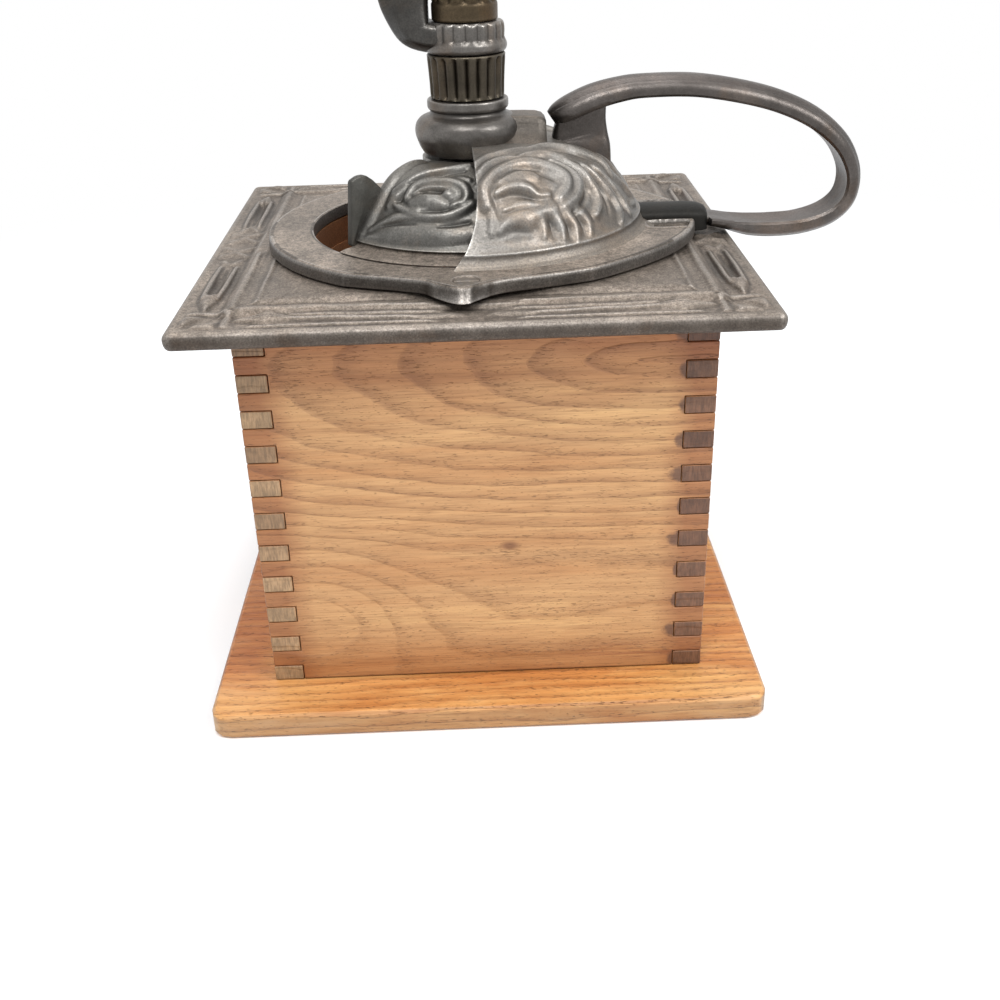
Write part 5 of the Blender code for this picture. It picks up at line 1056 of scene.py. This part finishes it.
NECK_SHARES = [(0.84, 0.0), (0.92, 0.14), (0.985, 0.32), (1.0, 0.45), (0.97, 0.57), (0.89, 0.66),
               (0.72, 0.72), (0.69, 0.79), (0.75, 0.83), (0.75, 0.97), (0.73, 1.0)]
neck = [(BORE, PIVOT_TOP - 6), (11.0, PIVOT_TOP - 6), (11.0, PIVOT_TOP)]
neck += [(r * NECK_RADIUS, PIVOT_TOP + h * NECK_RISE) for r, h in NECK_SHARES]
neck += [(BORE, PIVOT_TOP + NECK_RISE)]
turned_piece("canopy_neck", neck, HEAD_IRON, "mill", "hopper_canopy", ease=0.9)

LUG_HALF = 15.5


def lug_mesh():
    """The lug beside the neck: upright sections along +X, flat on top, with flanks that sweep to the dome."""
    high = PIVOT_TOP + 0.68 * NECK_RISE
    flank = smooth_line([(LUG_HALF, 0.0), (12.5, 0.14), (10.0, 0.36), (8.2, 0.64), (7.2, 0.88), (6.2, 0.98),
                         (4.6, 1.0)], 18)
    y = np.concatenate([flank[:, 0], -flank[::-1, 0], (-LUG_HALF, LUG_HALF)])
    share = np.concatenate([flank[:, 1], flank[::-1, 1]])
    rows = []
    for x, wide, top in ((8, 1.0, 0.2), (14, 1.0, 0.1), (20, 1.0, 0), (24, 1.0, -0.2), (26.2, 0.97, -0.8),
                         (27.4, 0.9, -2.0)):
        foot = RING_TOP - 0.8 + np.interp(math.hypot(x, LUG_HALF), *DOME_LINE.T)
        z = np.concatenate([foot + (high + top - foot) * share, (foot - 3, foot - 3)])
        rows.append(placed(x, y * wide, z))
    return outward(loft_mesh(rows))


add_piece("canopy_lug", lug_mesh(), LUG_IRON, "mill", "hopper_canopy")

SOCKET_HALF, SOCKET_ROUND, SOCKET_SIDE = 8.25, 3.5, 5.0


def socket_mesh():
    """The handle's socket: a barrel topped boss whose sections shrink towards its rounded outer end."""
    rows = []
    stations = smooth_line([(0.0, 1.0, 1.0), (0.4, 1.0, 1.0), (0.72, 1.0, 1.0), (0.88, 0.93, 0.9),
                            (0.97, 0.8, 0.68), (1.0, 0.66, 0.45)], 26)
    t = np.linspace(0, math.pi, 25)
    bulge = 1 + 0.06 * np.sin(t) ** 2 * np.abs(np.cos(t))
    for along, wide, tall in stations:
        half = SOCKET_HALF * wide
        top = RING_LOW + SOCKET_SIDE + (np.sin(t) ** 0.8 - 1 + tall) * SOCKET_ROUND
        y = np.concatenate([[half], half * np.cos(t) * bulge, [-half]])
        rows.append(placed(60.0 + 26.5 * along, y, np.concatenate([[RING_LOW], top, [RING_LOW]])))
    return loft_mesh(rows)


add_piece("canopy_socket", socket_mesh(), SHADED_SOCKET_IRON, "mill", "hopper_canopy", angle=50)

hub_ring = [(11.5, PIVOT_TOP - 4.4), (17.0, PIVOT_TOP - 4.4), (17.0, PIVOT_TOP - 0.9),
            (11.5, PIVOT_TOP - 0.9)]
turned_piece("shutter_hub", hub_ring, SHUTTER_IRON, "hopper_shutter", "shutter")


def shutter_flange_mesh():
    """The shutter's foot: a flat sector on the ring, from the wall's foot to the flange's rim."""
    outline = eased_loop([(51.2, 158.3), (59.7, 158.3), (59.6, 158.55), (57.5, 158.95), (53.0, 159.4),
                          (51.2, 160.4)], 0.15)
    turns = np.linspace(FIN_TURN, FIN_TURN + math.pi, 120)[:, None]
    return loft_mesh(round_axis(outline[:, 0], turns, outline[:, 1])[:, ::-1])


add_piece("shutter_flange", shutter_flange_mesh(), RING_IRON, "hopper_shutter", "shutter", worn=False)

FIN_RADIUS, FIN_HIGH = 54.5, 23.2


def fin_mesh():
    """The thumb fin: its outline drawn in slightly towards both faces, so that its edges are round."""
    shares = [(1.0, -0.95), (0.962, 0.0), (0.905, 0.05), (0.855, 0.05), (0.8, -0.04), (0.71, -0.26),
              (0.78, -0.45), (0.945, -0.95)]
    outline = eased_loop(np.array(shares) * (FIN_RADIUS, FIN_HIGH) + (0, RING_TOP + FIN_HIGH), 0.9, 4)
    inward = outline.mean(0) - outline
    inward /= np.linalg.norm(inward, axis=1)[:, None]
    rows = []
    for side, draw in ((-2.3, 0.45), (-2.15, 0.15), (-1.9, 0), (-0.1, 0), (0.15, 0.15), (0.3, 0.45)):
        drawn = outline + inward * draw
        rows.append(placed(drawn[:, 0], side, drawn[:, 1]))
    mesh = loft_mesh(rows)
    mesh.transform(Matrix.Rotation(FIN_TURN, 4, "Z"))
    return mesh


add_piece("shutter_fin", fin_mesh(), FIN_IRON, "hopper_shutter", "shutter", angle=50)


def fluted_grid(profile, flutes, columns, depth, shape):
    """A lathe piece with flutes cut in, as far as each row's third number says.

    The radius dips by depth (1 - |sin(flutes t / 2)|)^shape.
    """
    profile = np.asarray(profile, float)
    t = np.arange(columns) * 2 * math.pi / columns
    dip = (1 - np.abs(np.sin(flutes * t / 2))) ** shape
    return round_axis(profile[:, :1] - depth * profile[:, 2:] * dip, t, profile[:, 1:2])


nut = [(BORE, NUT_LOW, 0), (12.6, NUT_LOW, 0), (13.0, NUT_LOW + 0.3, 0.1), (13.05, NUT_LOW + 0.8, 0.4),
       (13.1, NUT_LOW + 1.4, 1), (13.2, NUT_LOW + 5, 1), (13.45, NUT_LOW + 9.5, 1), (13.7, NUT_TOP - 1.6, 1),
       (13.7, NUT_TOP - 1.0, 0.4), (13.7, NUT_TOP - 0.4, 0), (13.4, NUT_TOP, 0), (BORE, NUT_TOP, 0)]
add_piece("regulator_flutes", loft_mesh(fluted_grid(nut, 20, 480, 1.5, 1.3), True), NUT_IRON,
          "regulator", "regulator_nut", angle=50)


def hub_mesh():
    """Crank hub: a full lip, then a barrel with fine ribs, round a square hole."""
    profile = smooth_line([(12.6, HUB_LOW, 0), (13.7, HUB_LOW + 0.5, 0), (14.3, HUB_LOW + 1.6, 0),
                           (14.3, HUB_LOW + 2.9, 0), (13.9, HUB_LOW + 4.0, 0.3), (13.6, HUB_LOW + 5.0, 1),
                           (13.7, HUB_LOW + 7, 1), (13.6, HUB_TOP - 1.2, 1), (13.3, HUB_TOP - 0.5, 0.6),
                           (12.7, HUB_TOP, 0)], 40)
    columns = 440
    t = np.arange(columns) * 2 * math.pi / columns
    square = 3.5 / np.maximum(np.abs(np.cos(t)), np.abs(np.sin(t)))
    hole = [round_axis(square, t, z) for z in (HUB_TOP, HUB_LOW)]
    return loft_mesh(np.vstack([fluted_grid(profile, 20, columns, 0.62, 0.9), hole]), True)


add_piece("crank_hub", hub_mesh(), HEAD_IRON, "crank", "crank_arm", angle=50)

ARM_OUTER = [(0.02, 0.0), (0.075, 0.0), (0.127, 0.011), (0.173, 0.045), (0.205, 0.108), (0.238, 0.24),
             (0.254, 0.355), (0.277, 0.505), (0.322, 0.66), (0.405, 0.775), (0.53, 0.838), (0.68, 0.865),
             (0.84, 0.872), (0.95, 0.872)]
ARM_INNER = [(0.02, 0.177), (0.05, 0.177), (0.08, 0.177), (0.103, 0.185), (0.105, 0.2), (0.105, 0.27),
             (0.105, 0.36), (0.122, 0.54), (0.17, 0.73), (0.262, 0.885), (0.395, 0.975), (0.55, 1.0),
             (0.74, 0.995), (0.95, 0.98)]
ARM_DEPTH = [0.72, 0.72, 0.7, 0.66, 0.62, 0.56, 0.5, 0.46, 0.43, 0.41, 0.4, 0.38, 0.37, 0.37]
ARM_SECTION = [(0.0, 0.35), (0.0, -0.35), (0.3, -1.0), (0.88, -1.0), (1.0, -0.72), (1.0, 0.72), (0.88, 1.0),
               (0.3, 1.0)]


def arm_mesh():
    """The swan neck: a rounded section between an outer and an inner line, carried from hub to boss."""
    lines = smooth_line(np.hstack([ARM_OUTER, ARM_INNER, np.array(ARM_DEPTH)[:, None]]), 110)
    inward, aside = eased_loop(ARM_SECTION, 0.16, 4).T
    rows = []
    for ox, oz, ix, iz, depth in lines:
        x = ox + (ix - ox) * inward
        z = oz + (iz - oz) * inward
        rows.append(placed(-x * REACH, aside * depth * HUB_RADIUS, HUB_LOW + z * RISE))
    return loft_mesh(rows)


add_piece("crank_swan_neck", outward(arm_mesh()), ARM_IRON, "crank", "crank_arm", angle=50)
boss = [(3.2, BOSS_LOW), (8.9, BOSS_LOW), (9.2, BOSS_LOW + 1), (9.2, BOSS_TOP - 1), (8.9, BOSS_TOP),
        (3.2, BOSS_TOP)]
turned_piece("crank_boss", boss, HEAD_IRON, "crank", "crank_arm", ease=0.6, place=(-REACH, 0, 0))

CAP_BASE = CAP_LOW + 5.8
CROWN = 18.7
# The cap nut's crown: (radius, share of its height, share of the scallops' depth)
CAP_SHARES = [(11.5, 0.06, 0.9), (11.9, 0.18, 1), (11.85, 0.34, 1), (10.6, 0.42, 0.8), (8.4, 0.50, 0.3),
              (8.0, 0.56, 0), (8.1, 0.68, 0), (8.0, 0.76, 0), (7.1, 0.88, 0), (5.4, 0.96, 0), (3.4, 1.0, 0)]
cap = [(11.4, CAP_LOW + 0.5, 0), (11.4, CAP_BASE - 0.6, 0), (11.1, CAP_BASE, 0)]
cap += [(r, CAP_BASE + h * CROWN, flute) for r, h, flute in CAP_SHARES] + [(0.6, CAP_BASE + CROWN + 0.05, 0)]
cap = np.vstack([[(0.4, CAP_LOW + 12.4, 0), (3.0, CAP_LOW + 12, 0), (3.4, CAP_LOW + 11.6, 0),
                  (3.4, CAP_LOW, 0), (11.0, CAP_LOW, 0)], smooth_line(cap, 60)])
add_piece("cap_nut_scalloped", loft_mesh(fluted_grid(cap, 12, 288, 1.3, 1.1)), BRONZE, "crank", "cap_nut",
          angle=60)

KNOB_SHARES = [(0.6, 0.0), (0.66, 0.03), (0.66, 0.09), (0.5, 0.14), (0.52, 0.24), (0.68, 0.42), (0.88, 0.6),
               (0.99, 0.74), (1.0, 0.82), (0.9, 0.92), (0.68, 0.98), (0.5, 1.0)]
knob = smooth_line([(r * (KNOB_RADIUS - 0.2), KNOB_LOW + h * KNOB_LENGTH) for r, h in KNOB_SHARES], 70)
knob = np.vstack([[(3.2, KNOB_LOW)], knob, [(5.7, KNOB_LOW + KNOB_LENGTH), (5.7, KNOB_LOW + 38.8),
                                            (3.2, KNOB_LOW + 38.8)]])
add_piece("crank_knob_turned", loft_mesh(lathe_grid(knob, 120) + np.array((-REACH, 0, 0)), True), KNOB_WOOD,
          "knob", "crank_knob", angle=45)


# The strap's loop from its upper end round to its foot in the socket: (along, height, thickness) as shares
HANDLE_PATH = [(0.0, 0.80, 0.7), (0.025, 0.835, 0.95), (0.07, 0.88, 1.08), (0.136, 0.935, 1.1),
               (0.213, 0.975, 1.05), (0.295, 0.995, 1.0), (0.459, 0.99, 1.0), (0.622, 0.933, 1.0),
               (0.749, 0.856, 1.0), (0.858, 0.745, 1.0), (0.945, 0.593, 0.97), (0.991, 0.428, 0.93),
               (1.0, 0.285, 0.92), (0.981, 0.163, 0.95), (0.926, 0.068, 0.98), (0.84, 0.013, 0.97),
               (0.749, 0.0, 0.97), (0.677, 0.006, 0.9), (0.628, 0.022, 0.76), (0.59, 0.04, 0.62),
               (0.55, 0.058, 0.56), (0.51, 0.07, 0.5), (0.46, 0.077, 0.45), (0.386, 0.077, 0.45)]
HANDLE_START = 29.5
HANDLE_LENGTH = 110.0
HANDLE_LOW = 151.95
HANDLE_RISE = 52.6
STRAP_THICK = 7.1
STRAP_HALF = 8.0
strap_line = np.array(HANDLE_PATH) * (HANDLE_LENGTH, HANDLE_RISE, STRAP_THICK) + (HANDLE_START, HANDLE_LOW, 0)


def handle_mesh():
    """The strap: a crowned section with a raised rim at each side, carried along the loop in the XZ plane.

    Its upper end is rounded, half width = 8 sqrt(1 - (1 - run / 9)^2), and its foot is narrow.
    """
    x, z, thick = smooth_line(strap_line, 300).T[..., None]
    along = np.gradient(np.hstack([x, z]), axis=0)
    along /= np.linalg.norm(along, axis=1)[:, None]
    section = np.array([(-0.9, -1.0), (-0.5, -0.9), (0.5, -0.9), (0.9, -1.0), (1.0, -0.75), (1.0, -0.25),
                        (0.9, 0.2), (0.78, 0.42), (0.72, 0.5), (0.66, 0.5), (0.5, 0.78), (0.25, 0.96),
                        (0.0, 1.0)])
    section = np.vstack([section, section[-2:6:-1] * (-1, 1), [(-0.9, 0.2), (-1.0, -0.25), (-1.0, -0.75)]])
    share = np.minimum(1.0, run_along(np.hstack([x, z])) / 9.0)[:, None]
    half = STRAP_HALF * np.sqrt(np.maximum(0.1, 1 - (1 - share) ** 2))
    half[(np.arange(len(x))[:, None] > 150) & (x < 87.4)] *= 0.59
    lift = section[:, 1] * thick / 2
    return loft_mesh(placed(x - along[:, 1:] * lift, section[:, 0] * half, z + along[:, :1] * lift))


add_piece("side_handle_strap", outward(handle_mesh()), HANDLE_IRON, "mill", "side_handle", angle=40)


def foot_mesh():
    """The saddle under the strap's upper end: waisted level sections from the dome up to the strap."""
    stations = smooth_line([(1.0, 0.16, 0.88, 0.74), (0.86, 0.06, 0.9, 0.7), (0.72, 0.02, 0.9, 0.7),
                            (0.58, 0, 0.93, 0.78), (0.4, 0, 0.98, 0.95), (0.0, 0, 1.0, 1.0)], 30)[::-1]
    floor = RING_TOP + DOME_RISE * 0.4
    rows = []
    for tall, near, far, wide in stations:
        x0, x1, half = HANDLE_START + 21.5 * near, HANDLE_START + 21.5 * far, 6.5 * wide
        corners = [(x1, 0), (x1, half), (x0, half), (x0, -half), (x1, -half), (x1, 0)]
        x, y = eased_line(corners, half * 0.7, 5)[:-1].T
        top = np.interp(x, strap_line[:6, 0], strap_line[:6, 1])
        dome = np.interp(np.hypot(x, y), *DOME_LINE.T) + RING_TOP
        rows.append(placed(x, y, np.maximum(floor + (top - floor) * tall, dome - 0.6)))
    return loft_mesh(rows)


add_piece("side_handle_foot", outward(foot_mesh()), HANDLE_IRON, "mill", "side_handle", angle=50)

BOWL_RADIUS, BOWL_DEEP, BOWL_WALL = 61.4, 77.0, 3.2
FLANGE_RADIUS = 65.2
HOUSING_OUT, HOUSING_IN, LIP = 33.2, 30.0, 27.1
bowl_out = smooth_line([(BOWL_RADIUS * r, PLATE_TOP - BOWL_DEEP * d) for r, d in (
    (1.0, 0.1), (0.965, 0.27), (0.88, 0.42), (0.74, 0.55), (0.61, 0.64))], 26)
across = np.gradient(bowl_out, axis=0)
across = np.stack([across[:, 1], -across[:, 0]], 1) / np.linalg.norm(across, axis=1)[:, None]
bowl_in = bowl_out + across * BOWL_WALL
seat = BURR_LOW + 22.0
bowl = np.vstack([[(MOUTH, PLATE_TOP), (FLANGE_RADIUS, PLATE_TOP), (FLANGE_RADIUS, PLATE_TOP - 2.7),
                   (BOWL_RADIUS, PLATE_TOP - 2.7)], bowl_out,
                  [(HOUSING_OUT, seat + BOWL_WALL), (HOUSING_OUT, BOWL_FLOOR), (HOUSING_IN, BOWL_FLOOR),
                   (HOUSING_IN, seat), (LIP, seat), (LIP, seat + BOWL_WALL)], bowl_in[::-1][:-1],
                  [(MOUTH, PLATE_TOP - 9.2)]])
add_piece("hopper_bowl_turned", outward(loft_mesh(lathe_grid(bowl, 144), True)), RUST, "mill", "hopper_bowl",
          angle=40)

for body, material, nodes in (
        ("mill", HEAD_IRON, "bridge"), ("grinding_spindle", STEEL, "spindle burr_pin"),
        ("crank", STEEL, "knob_pin"),
        ("mill", STEEL, "bridge_screw_left bridge_screw_right handle_screw"),
        ("mill", STEEL, "canopy_screw_front canopy_screw_back"),
        ("drawer", STEEL, "drawer_knob_screw"),
        ("mill", STEEL, "base_screw_1 base_screw_2 base_screw_3 base_screw_4"),
        ("mill", BURR_STEEL, "outer_burr"), ("grinding_spindle", BURR_STEEL, "inner_burr"),
        ("drawer", KNOB_WOOD, "drawer_knob")):
    for node in nodes.split():
        dress_node(node, body, material, 0.2, worn=material is HEAD_IRON)


def photo_camera():
    """Camera as worked out from the box: turned, dipped and rolled by these angles in radians."""
    turn, dip, roll = -0.0162952, 0.4857575, -0.0289714
    ahead = Vector((-math.sin(turn) * math.cos(dip), math.cos(turn) * math.cos(dip), -math.sin(dip)))
    right = ahead.cross(Vector((0, 0, 1))).normalized()
    up = right.cross(ahead)
    side = right * math.cos(roll) + up * math.sin(roll)
    top = up * math.cos(roll) - right * math.sin(roll)
    lens = bpy.data.cameras.new("camera")
    lens.sensor_width = 36.0
    lens.lens = 1205.53 / 1000 * lens.sensor_width
    lens.clip_start, lens.clip_end = 0.01, 60.0
    camera = bpy.data.objects.new("camera", lens)
    camera.matrix_world = Matrix.Translation((0.000102, -0.443691, 0.274535)) @ Matrix(
        (side, top, -ahead)).transposed().to_4x4()
    bpy.context.scene.collection.objects.link(camera)
    bpy.context.scene.camera = camera


def lamp(name, place, aim, size, power):
    """A square soft lamp that looks at a point."""
    light = bpy.data.lights.new(name, "AREA")
    light.shape = "RECTANGLE"
    light.size = light.size_y = size
    light.energy = power
    holder = bpy.data.objects.new(name, light)
    holder.location = place
    holder.rotation_euler = (Vector(aim) - Vector(place)).to_track_quat("-Z", "Y").to_euler()
    bpy.context.scene.collection.objects.link(holder)


def studio_light():
    """Soft light from the right, the front and above, in a pale room that looks white."""
    lamp("window_right", (1.05, -0.75, 1.25), (0, 0, 0.12), 0.7, 17)
    lamp("high_front", (-0.2, -0.85, 1.65), (0, 0, 0.1), 0.6, 15)
    lamp("above", (-0.1, 0.45, 1.5), (0, 0, 0.1), 0.9, 7)
    world = bpy.data.worlds.new("studio")
    world.use_nodes = True
    world.node_tree.nodes.clear()
    room = Nodes(world.node_tree)
    soft = room.add("Background", {"Color": (0.95, 0.97, 1.0, 1), "Strength": 0.72})
    shown = room.add("Background", {"Color": (1, 1, 1, 1)})
    room.add("OutputWorld", {0: room.add("MixShader", {0: room.seen_directly(), 1: soft, 2: shown})})
    bpy.context.scene.world = world
    bpy.context.scene.view_settings.view_transform = "Standard"


def studio_floor():
    """A pale floor that keeps the shadow close by and turns plain white further out."""
    floor = make_mesh(np.array([(-1, -1, 0), (1, -1, 0), (1, 1, 0), (-1, 1, 0)]) * 9000.0, [[0, 1, 2, 3]])
    f = Finish("pale_floor", Roughness=0.9, Specular_IOR_Level=0.1, Base_Color=(0.93, 0.94, 0.95, 1))
    x, y, _ = f.split(f.place)
    share = f.seen_directly() * f.length(x, y).band(0.22, 0.75, 0.0, 1.0, "SMOOTHSTEP")
    white = f.add("Emission", {"Color": (1, 1, 1, 1)})
    mix = f.add("MixShader", {0: share, 1: Value(f, f.shader.outputs[0]), 2: white})
    f.plug(f.tree.nodes["Material Output"].inputs["Surface"], mix)
    ground = bpy.data.objects.new("floor", floor)
    bpy.context.scene.collection.objects.link(ground)
    floor.materials.append(f.material)


photo_camera()
studio_light()
studio_floor()
